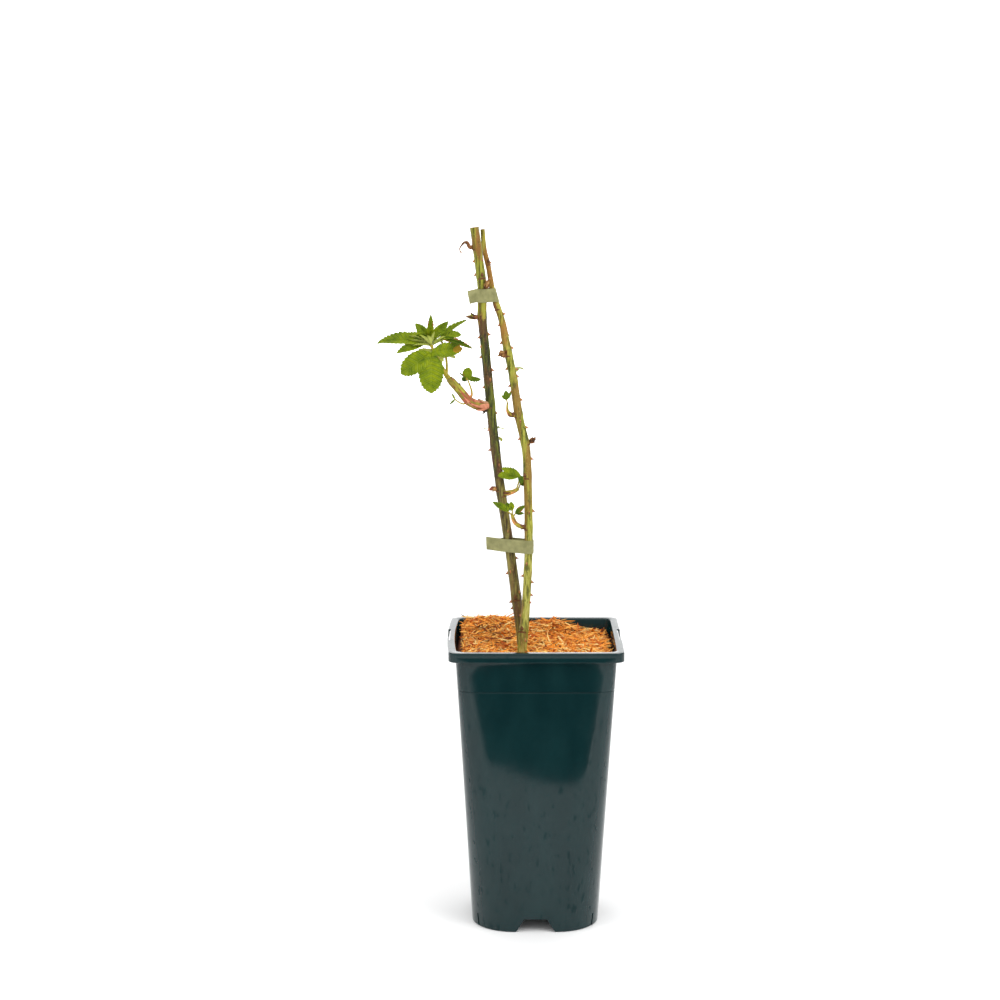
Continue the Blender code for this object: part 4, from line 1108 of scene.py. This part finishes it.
LEAF_COLOURS = (
    ("leaf_top", (0.055, 0.110, 0.001), (0.145, 0.205, 0.001), (0.255, 0.310, 0.002)),
    # leaf_shade is painted shade for the pleats' valleys; deep leaves also take it on their veins.
    ("leaf_shade", (0.035, 0.075, 0.001), (0.080, 0.130, 0.001), (0.150, 0.205, 0.002)),
    ("leaf_deep", (0.025, 0.060, 0.002), (0.060, 0.110, 0.002), (0.110, 0.165, 0.003)),
    ("leaf_pale", (0.15, 0.21, 0.008), (0.22, 0.29, 0.014), (0.30, 0.37, 0.03)),
    ("leaf_under", (0.26, 0.32, 0.040), (0.38, 0.43, 0.075), (0.48, 0.52, 0.13)),
    ("leaf_rust", (0.20, 0.13, 0.006), (0.36, 0.21, 0.015), (0.46, 0.30, 0.02)),
)
TOP, SHADE, DEEP, PALE, UNDER, RUST, EDGE, STALK, SHEATH, HUSK = range(10)
ACROSS = 7
WIDEST = 0.46
TOOTH_SHAPE = (0.1, 0.3, 0.55, 0.45, 0.7, 0.95, 1.0, 0.35)
TOOTH_ROWS = len(TOOTH_SHAPE)
VEIN_SPACING = 3.5 * MM
SMALL_LEAFLET = 14 * MM
PLEAT_DEPTH = 0.55 * MM


def bearing(azimuth, elevation):
    turn, rise = math.radians(azimuth), math.radians(elevation)
    return Vector((math.cos(turn) * math.cos(rise), math.sin(turn) * math.cos(rise),
                   math.sin(rise)))


def bend(start, control, end, share):
    return start.lerp(control, share).lerp(control.lerp(end, share), share)


def add_bent_stem(growth, points, thick, thin, sides=12, steps=14):
    """A stalk that tapers along one bend; its course and radii are given back."""
    shares = [step / steps for step in range(steps + 1)]
    course = [bend(*points, share) for share in shares]
    radii = [mix(thick, thin, share) for share in shares]
    add_stem(growth, course, radii, sides, STALK, 0.12, points[0].x * 900)
    return course, radii


def outline_at(share, blunt):
    """How wide a leaflet is along its length, from a round base to its tip."""
    if share < WIDEST:
        return max(0.04, math.sin(math.pi / 2 * share / WIDEST) ** 0.7)
    tip = (share - WIDEST) / (1 - WIDEST)
    return max(0.012, (1 - min(1, tip) ** blunt) ** 0.9 - 0.06 * math.sin(math.pi * tip))


def add_leaflet(growth, base, way, facing, length, breadth, fold, droop, look=""):
    """One leaflet, folded along its midrib. Its rows run out along its side veins, where it
    is pleated, and every vein ends in a tooth that points forward. Its look may name edged,
    deep, rusty or blunt."""
    side = facing.cross(way).normalized()
    up = way.cross(side).normalized()
    half = length * breadth / 2
    veins = max(6 if length < SMALL_LEAFLET else 8, round(length / VEIN_SPACING))
    rows = veins * TOOTH_ROWS
    lift = math.radians(fold)
    bow = math.radians(droop) or 0.001
    blunt = 2.8 if "blunt" in look else 2.2
    wave = base.x * 431 + base.z * 917
    thick = max(0.16 * MM, length / 160)
    relief = min(1.0, length / (24 * MM))
    upper, lower, ribs = [], [], []
    for row in range(rows + 1):
        share = row / rows
        groove = abs(row % TOOTH_ROWS / TOOTH_ROWS * 2 - 1)
        for column in range(-ACROSS, ACROSS + 1):
            v = column / ACROSS
            out = abs(v)
            along = share + 0.14 * out * 4 * share * (1 - share)
            angle = bow * along
            forward = way * math.cos(angle) - up * math.sin(angle)
            raised = up * math.cos(angle) + way * math.sin(angle)
            spine = base + (way * math.sin(angle) - up * (1 - math.cos(angle))) * length / bow
            width = outline_at(along, blunt) * half
            reach = out * width
            if abs(column) == ACROSS and 0.06 < share < 0.985:
                tooth = TOOTH_SHAPE[row % TOOTH_ROWS] * min(0.3 * length / veins, 0.2 * width)
                reach += tooth
                spine = spine + forward * tooth * 0.8
            pleat = -PLEAT_DEPTH * relief * groove ** 3 * min(1, out * 3) * (1 - share) ** 0.3
            cup = 0.12 * half * math.sin(math.pi * out) * (1 - share)
            ripple = 0.06 * half * v * v * math.sin(9 * share + wave + (2 if v > 0 else 0))
            height = reach * math.sin(lift) + pleat + cup + ripple
            spot = spine + side * math.copysign(reach * math.cos(lift), v) + raised * height
            upper.append(spot + raised * thick / 2)
            lower.append(spot - raised * thick / 2)
            if column == 0 and row % 3 == 0:
                ribs.append(spot + raised * thick * 0.4)

    def dealt(row, column):
        out = abs(column + 0.5 - ACROSS)
        pleat_row = row % TOOTH_ROWS
        above = TOP
        # The rows either side of each vein take the shade colour: painted shade in the pleats'
        # valleys.
        if relief > 0.5 and out < ACROSS - 1:
            above = {0: PALE, 1: SHADE, 7: SHADE}.get(pleat_row, TOP)
        if "deep" in look:
            above = {TOP: DEEP, SHADE: DEEP, PALE: SHADE}[above]
        spot = upper[row * (2 * ACROSS + 1) + column]
        if "edged" in look and out > ACROSS - 2 and noise.noise(spot * 160) > 0.12:
            above = EDGE
        if "rusty" in look and row / rows > 0.55 + 0.5 * noise.noise(spot * 120) + 0.05 * out:
            above = RUST
        below = EDGE if pleat_row == 0 and relief > 0.9 and out > 1 else UNDER
        return above, below

    add_plate(growth, upper, lower, 2 * ACROSS + 1, dealt, EDGE if "edged" in look else UNDER)
    last = len(ribs) - 1
    widths = [mix(0.30, 0.08, index / last) * MM * min(1.0, length / (26 * MM))
              for index in range(last + 1)]
    add_stem(growth, ribs, widths, 6, PALE)


def add_leaf(growth, start, control, junction, heading, facing, leaflets, petiole=0.6 * MM):
    """A compound leaf: a stalk to its junction, and leaflets spread from the heading."""
    add_bent_stem(growth, (start, control, junction), petiole * 1.25, petiole, 10, 10)
    way = bearing(*heading)
    across = bearing(*facing)
    face = (across - way * across.dot(way)).normalized()
    for spread, length, *shape in leaflets:
        out = Matrix.Rotation(math.radians(spread), 3, face) @ way
        add_leaflet(growth, junction - out * 0.4 * MM, out, face, length * MM, *shape)


def leaf_skin(name, deep, colour, light):
    skin = Finish(name, colour, 0.55, 0.15)
    cloud = skin.noise(120, 3)
    fine = skin.noise(1400, 3)
    base = skin.ramp(cloud, (0.3, deep), (0.5, colour), (0.72, light))
    skin.paint(skin.cover(skin.mask(fine, 0.45, 0.65, 0.3), base, light))
    skin.bump(fine, 0.35, 0.12 * MM)
    return skin.surface


leaf_finishes = [leaf_skin(*row) for row in LEAF_COLOURS] + [
    natural("leaf_edge", (0.26, 0.10, 0.020), 0.5, 900, 0.3),
    natural("leaf_stalk", (0.34, 0.27, 0.025), 0.5, 400, 0.35),
    natural("leaf_sheath", (0.60, 0.27, 0.085), 0.65, 500, 0.3),
    natural("leaf_husk", (0.12, 0.05, 0.018), 0.8, 600, 0.4),
]


def foliage_main():
    """The crown: five compound leaves round the shoot's tip, and its young heart."""
    growth = Growth()
    course = bough_course(4)
    way = (course[-1] - course[-2]).normalized()
    start = course[-1] + way * GAP
    turn = start + way * 6 * MM
    tip = mm(-91, -17, 512)
    middle = bend(start, turn, tip, 0.5)
    add_bent_stem(growth, (start, turn, tip), 2.4 * MM, 0.9 * MM, 16, 20)
    add_leaf(growth, middle, middle + mm(0, -3, 1), mm(-89.6, -25, 503.4), (270, -68),
             (270, 22), (
        (0, 35, 0.60, 10, 25, "blunt"),
        (-57, 32, 0.56, 14, 22, "blunt"),
        (101, 28, 0.46, 24, 16, "blunt rusty"),
    ), 0.8 * MM)
    add_leaf(growth, tip, tip + mm(-2, 0, 0), mm(-96, -18, 510), (184, 18), (280, 52), (
        (0, 42, 0.36, 26, 44),
        (34, 26, 0.36, 26, 30),
        (-32, 22, 0.62, 20, 30, "blunt"),
    ), 0.8 * MM)
    add_leaf(growth, start + way * 3 * MM, mm(-75, -16, 500), mm(-82.3, -14, 515.6), (350, 12),
             (290, 45), (
        (0, 19, 0.52, 22, 12, "blunt"),
        (33, 29, 0.24, 38, 6),
        (-32, 34, 0.20, 38, 8, "deep edged"),
    ), 0.9 * MM)
    add_leaf(growth, tip, tip + mm(0, 0, 1), tip + mm(0, 0.5, 3), (250, 80), (280, 5), (
        (38, 19, 0.46, 24, 4),
        (-6, 22, 0.28, 34, -4, "edged"),
        (-52, 22, 0.42, 30, 4),
        (75, 14, 0.50, 24, 4, "deep"),
    ), 0.8 * MM)
    add_leaf(growth, middle, middle + mm(0, 5, 2), mm(-88, -6, 504), (88, -24), (88, 64), (
        (0, 29, 0.58, 12, 30, "blunt"),
        (-62, 22, 0.52, 16, 24, "blunt"),
        (60, 23, 0.52, 16, 24, "blunt edged"),
    ), 0.8 * MM)
    heart = mm(-88, -21, 505.5)
    for azimuth, rise, length, breadth, fold, droop, look in (
            (176, 34, 20, 0.26, 48, 20, ""), (188, 22, 17, 0.30, 46, 10, "deep"),
            (150, 50, 15, 0.30, 50, -6, ""), (215, 44, 14, 0.34, 44, 6, "deep"),
            (300, 62, 13, 0.32, 48, -8, ""), (340, 40, 14, 0.30, 46, 10, "deep"),
            (250, 52, 12, 0.36, 40, 8, ""), (20, 52, 14, 0.30, 46, 8, "deep"),
            (120, 70, 16, 0.26, 50, -6, ""), (168, 26, 24, 0.22, 54, 12, ""),
            (10, 28, 15, 0.32, 42, 14, "deep"), (205, 10, 16, 0.34, 40, 12, "deep")):
        out = bearing(azimuth, rise)
        across = bearing(azimuth + 180, 90 - rise)
        face = (across - out * across.dot(out)).normalized()
        root = heart.lerp(tip, 0.5) + out * 1.5 * MM
        stalk = (heart, heart.lerp(root, 0.5), root)
        add_bent_stem(growth, stalk, 0.6 * MM, 0.4 * MM, 8, 5)
        add_leaflet(growth, root, out, face, length * MM, breadth, fold, droop, look)
    return growth


def bough_seat(share, direction):
    """A point on the bough's side, at a share of its length, and the way out."""
    course = bough_course(4)
    index = round(share * (len(course) - 1))
    way = (course[index + 1] - course[index - 1]).normalized()
    out = (direction - way * direction.dot(way)).normalized()
    return course[index] + out * bough_radius(index / (len(course) - 1)), out


def foliage_bract():
    growth = Growth()
    root, out = bough_seat(0.5, Vector((0.3, -0.2, 1)))
    junction = mm(-59.7, -19, 482.1)
    stalk = (root, root + out * 4 * MM, junction)
    course, radii = add_bent_stem(growth, stalk, 1.1 * MM, 0.6 * MM)
    add_scale(growth, course, radii, 0, 6, 200, 0.9, 0.3 * MM, SHEATH)
    add_leaf(growth, junction - mm(0, 0, 2), junction - mm(0, 0, 1), junction, (300, 62),
             (270, 10), (
        (0, 10, 0.85, 14, 8, "edged blunt"),
        (-84, 13, 0.40, 20, 10, "blunt edged"),
        (72, 8, 0.24, 20, 4, "deep"),
        (150, 6, 0.80, 14, 10, "deep"),
    ))
    return growth


def foliage_stipule():
    growth = Growth()
    root, out = bough_seat(0.5, Vector((-0.4, -0.3, -1)))
    fork = mm(-69.5, -20.5, 463.2)
    add_bent_stem(growth, (root, root + out * 2.5 * MM, fork), 0.8 * MM, 0.6 * MM)
    add_leaf(growth, fork + mm(1.2, 0.1, -0.6), fork + mm(0.6, 0.1, -0.3), fork, (178, 15),
             (265, 20), (
        (58, 7, 0.26, 20, 10, "deep"),
        (-48, 6.5, 0.28, 20, 6),
    ))
    return growth


for name, leaves in (("foliage_main", foliage_main()), ("foliage_bract", foliage_bract()),
                     ("foliage_stipule", foliage_stipule())):
    leaves.piece(f"{name}_leaves", leaf_finishes, "leaf_green", name, 70)

# The small shoots break from nodes all along the canes: a short stem in pink, papery
# sheaths over a dark husk, and its first leaves, still folded.

SHOOT_SCALES = 16
SMALL_SHOOTS = (
    ("foliage_left_lower", LEFT, 380, 325, (-15, -13.5, 384.5), 2.4, 1.2, (
        (0.75, (-13.5, -16.5, 396.5), (180, 4), (280, 40), (
            (0, 20, 0.50, 18, 14),
            (-24, 19, 0.36, 18, 10),
            (100, 8, 0.60, 18, 10, "deep"),
        )),
        (0.9, (-13.6, -11.5, 388.5), (350, 62), (280, 10), (
            (0, 9.5, 0.50, 30, 14, "deep"),
            (-58, 7, 0.50, 22, 10, "deep edged"),
        )),
    )),
    ("foliage_right_lower", RIGHT, 352, 205, (-20.5, -21, 363), 1.9, 1.4, (
        (0.95, (-24.3, -21.5, 366.2), (180, 33), (280, 40), (
            (0, 16, 0.40, 26, 4),
            (-62, 9, 0.60, 22, 4, "deep"),
            (-36, 8, 0.50, 22, 4),
        )),
        (0.9, (-20.4, -19.5, 367), (120, 70), (275, 20), (
            (0, 8, 0.60, 22, 4),
            (42, 7, 0.55, 22, 4, "deep"),
        )),
        (0.85, (-17.6, -21.5, 364.6), (352, 42), (280, 30), (
            (0, 11, 0.46, 30, 10, "deep edged"),
            (-40, 8, 0.40, 26, 10, "deep"),
        )),
    )),
    ("foliage_right_upper", RIGHT, 449, 190, (-24.6, -11.5, 459), 2.3, 0.8, (
        (0.95, (-25.4, -11.5, 462), (240, 82), (275, 15), (
            (0, 8.5, 0.62, 18, 4, "deep"),
            (-34, 8.5, 0.34, 22, 2, "deep"),
            (44, 6.5, 0.40, 22, 2),
        )),
    )),
    ("foliage_right_back", RIGHT, 478, 80, (-19, 8.5, 484), 1.8, 0.9, (
        (0.95, (-18.5, 11.5, 487), (85, -10), (90, 70), (
            (0, 15, 0.50, 18, 24),
            (-50, 11, 0.46, 18, 18),
            (50, 11, 0.46, 18, 18, "edged"),
        )),
    )),
    ("foliage_left_back", LEFT, 422, 95, (-36, 5, 430), 2.0, 1.0, (
        (0.95, (-36, 9, 434), (92, 5), (90, 80), (
            (0, 19, 0.52, 16, 30),
            (-48, 13, 0.48, 18, 20),
            (48, 13, 0.48, 18, 20, "edged"),
        )),
        (0.7, (-33, 4, 427.5), (60, -30), (60, 50), (
            (0, 9, 0.50, 20, 10, "deep"),
        )),
    )),
)


def small_shoot(cane, height, azimuth, tip, thick, thin, leaves):
    """One shoot: its bent stem, the scales that clasp it, and its leaves."""
    dice = random.Random(height)
    growth = Growth()
    tip = mm(*tip)
    root, out = seat(cane, height, azimuth, 0)
    turn = root + out * (tip - root).length * 0.6
    points = (root - out * 0.3 * MM, turn, tip)
    course, radii = add_bent_stem(growth, points, thick * MM, thin * MM)
    for index in range(SHOOT_SCALES):
        first = dice.uniform(-0.5, 8)
        surface = HUSK if first < 2.5 else dice.choice((SHEATH, SHEATH, STALK, EDGE))
        add_scale(growth, course, radii, max(0, first), min(13.5, first + dice.uniform(3, 6)),
                  SPIRAL_TURN * index, dice.uniform(0.4, 0.9),
                  dice.choice((0, 0.1, 0.3, 0.8)) * MM, surface)
    for share, junction, heading, facing, leaflets in leaves:
        start = bend(root, turn, tip, share)
        way = bend(root, turn, tip, min(share + 0.05, 1.0)) - bend(root, turn, tip, share - 0.05)
        add_leaf(growth, start, start + way.normalized() * 1.5 * MM, mm(*junction), heading,
                 facing, leaflets)
    return growth


for name, *rule in SMALL_SHOOTS:
    small_shoot(*rule).piece(f"{name}_leaves", leaf_finishes, "leaf_green", name, 70)

# The buds are dormant or just opening: a short, pointed body in dry brown scales, some with
# green tips. The withered shoot near the top has dried into a brown curl.

SCALE_BROWN, SCALE_TAN, SCALE_DARK, SCALE_GREEN, SCALE_RED = range(5)
BUDS = (
    ("bud_left_upper", LEFT, 533, 200, 8, 12, 4.6, 11, 16, SCALE_GREEN),
    ("bud_left_top", LEFT, 559, 310, 72, 11, 4.4, 12, 12, SCALE_TAN),
    ("bud_left_lower", LEFT, 385, 200, 18, 6.5, 4.6, 13, 10, SCALE_RED),
    ("bud_left_back", LEFT, 503, 85, 35, 7.5, 4.6, 14, 12, SCALE_GREEN),
    ("bud_right_cluster", RIGHT, 501, 225, 25, 8.5, 6.4, 15, 18, SCALE_TAN),
    ("bud_right_side", RIGHT, 425, 350, 28, 7.5, 5.4, 16, 14, SCALE_DARK),
    ("bud_right_back", RIGHT, 313, 100, 35, 7, 4.4, 17, 10, SCALE_GREEN),
)


def bud(cane, height, azimuth, rise, length, breadth, seed, scales, tips):
    """A body that turns from straight out to its own rise, in scales that open at its tip."""
    dice = random.Random(seed)
    growth = Growth()
    root, out = seat(cane, height, azimuth, -0.2 * MM)
    way = course_at(cane[0], height * MM)[2]
    tip_way = out * math.cos(math.radians(rise)) + way * math.sin(math.radians(rise))
    size, wide = length * MM, breadth * MM / 2
    bent = root + out * size * 0.3
    course = limb(root, out, 0.2 * MM, (root + out * size * 0.25, bent + tip_way * size * 0.3,
                                        bent + tip_way * size * 0.65), 4)
    last = len(course) - 1
    radii = [wide * (0.5 + 0.3 * math.sin(math.pi * min(1, index / last * 1.2)))
             * (1 - (index / last) ** 4) + 0.1 * MM for index in range(last + 1)]
    add_stem(growth, course, radii, 14, SCALE_RED if tips == SCALE_RED else SCALE_BROWN, 0.3, seed)
    for index in range(scales):
        first = mix(1, 0.62 * last, index / scales)
        reach = min(last - 0.3, first + dice.uniform(0.25, 0.5) * last)
        surface = tips if index > scales * 0.6 else dice.choice((SCALE_BROWN, SCALE_TAN,
                                                                 SCALE_DARK, SCALE_BROWN))
        add_scale(growth, course, radii, first, reach,
                  SPIRAL_TURN * index + dice.uniform(-20, 20), dice.uniform(0.5, 0.95),
                  dice.choice((0.1, 0.3, 0.6, 1.1)) * wide, surface)
    return growth


def withered_shoot():
    """A stem that droops into a hook, in loose dry scales."""
    dice = random.Random(9)
    growth = Growth()
    root, out = seat(LEFT, 593, 195, 0)
    course = limb(root, out, 1.5 * MM, (mm(-59.6, -8.5, 596.6), mm(-62.4, -9, 595.2),
                                        mm(-65.2, -9, 591.4), mm(-63.8, -8.6, 586.8)), 6)
    last = len(course) - 1
    radii = [mix(1.7, 0.4, min(1.0, index / last * 1.4)) * MM for index in range(last + 1)]
    add_stem(growth, course, radii, 12, SCALE_BROWN, 0.5, 3)
    for index in range(1, last - 3, 2):
        add_scale(growth, course, radii, index, min(last - 0.3, index + dice.uniform(3, 6)),
                  SPIRAL_TURN * index, dice.uniform(0.5, 0.9),
                  dice.choice((0.2, 0.5, 0.9)) * MM,
                  dice.choice((SCALE_TAN, SCALE_BROWN, SCALE_DARK)))
    return growth


scale_finishes = [
    natural("scale_brown", (0.20, 0.08, 0.026), 0.8, 600, 0.35),
    natural("scale_tan", (0.44, 0.24, 0.08), 0.8, 600, 0.3),
    natural("scale_dark", (0.06, 0.028, 0.014), 0.85, 600, 0.4),
    natural("scale_green", (0.26, 0.26, 0.03), 0.6, 500, 0.3),
    natural("scale_red", (0.30, 0.09, 0.05), 0.6, 500, 0.35),
]
for name, *rule in BUDS:
    bud(*rule).piece(f"{name}_scales", scale_finishes, "bud_scale", name, 60)
withered_shoot().piece("shoot_withered_curl", scale_finishes, "bud_scale", "shoot_withered", 60)

# The setting: a plain pale floor under soft light from all round, and a lit white screen
# behind. A strip of dark studio in front is mirrored in the pot's upper wall.

FLOOR_REACH = 4.0
SCREEN_BACK = 3.0
SCREEN_TOP = 3.5
FLOOR_DROP = 0.4 * MM
CAMERA_PLACE = (-0.031, -2.061, 0.708)
CAMERA_DIP = 9.24
LAMP_TARGET = (-0.02, 0, 0.35)
STRIP = ((-0.062, -0.45), (-0.110, -0.77), (-0.17, -1.2), (0.2, -1.2), (0.135, -0.77),
         (0.080, -0.42), (0.060, -0.395), (0.035, -0.385), (0.0, -0.40), (-0.03, -0.43))


def stage_shape(name, points, colour, glow=0.0):
    builder = bmesh.new()
    builder.faces.new([builder.verts.new(point) for point in points])
    flat = in_scene(name, mesh_of(builder, name))
    paint = Finish(name, colour, 1.0, 0.0)
    paint.shader.inputs["Emission Color"].default_value = (1, 1, 1, 1)
    paint.shader.inputs["Emission Strength"].default_value = glow
    flat.data.materials.append(paint.surface)
    return flat


stage_shape("floor", [(x * FLOOR_REACH, y * FLOOR_REACH, -FLOOR_DROP)
                      for x, y in ((-1, -1), (1, -1), (1, 1), (-1, 1))], (0.95, 0.95, 0.95))
stage_shape("screen", [(x * FLOOR_REACH, SCREEN_BACK, z) for x, z in
                       ((-1, -0.1), (1, -0.1), (1, SCREEN_TOP), (-1, SCREEN_TOP))],
            (0.9, 0.9, 0.9), 0.95)
strip = stage_shape("dark_strip", [(x, y, 1 * MM) for x, y in STRIP], (0.004, 0.006, 0.006))
strip.visible_camera = False
strip.visible_diffuse = False
strip.visible_shadow = False

world = bpy.data.worlds.new("studio")
bpy.context.scene.world = world
world.use_nodes = True
world.node_tree.nodes["Background"].inputs["Color"].default_value = (1, 1, 1, 1)
world.node_tree.nodes["Background"].inputs["Strength"].default_value = 0.40

sky = bpy.data.lights.new("overcast", "SUN")
sky.energy = 2.2
sky.angle = math.radians(110)
overcast = in_scene("overcast", sky)
overcast.rotation_euler = (math.radians(24), math.radians(5), 0)
for name, size, watts, place in (
        ("softbox_left", 1.2, 7, (-1.6, -1.0, 1.3)),
        ("softbox_right", 1.0, 15, (1.4, -1.3, 1.5))):
    data = bpy.data.lights.new(name, "AREA")
    data.size = size
    data.energy = watts
    lamp = in_scene(name, data)
    lamp.location = place
    aim = Vector(LAMP_TARGET) - Vector(place)
    lamp.rotation_euler = aim.to_track_quat("-Z", "Y").to_euler()

lens = bpy.data.cameras.new("camera")
lens.sensor_width = 36
lens.lens = 86.4
camera = in_scene("camera", lens)
camera.location = CAMERA_PLACE
camera.rotation_euler = (math.radians(90 - CAMERA_DIP), 0, 0)
bpy.context.scene.camera = camera
bpy.context.scene.view_settings.view_transform = "Standard"
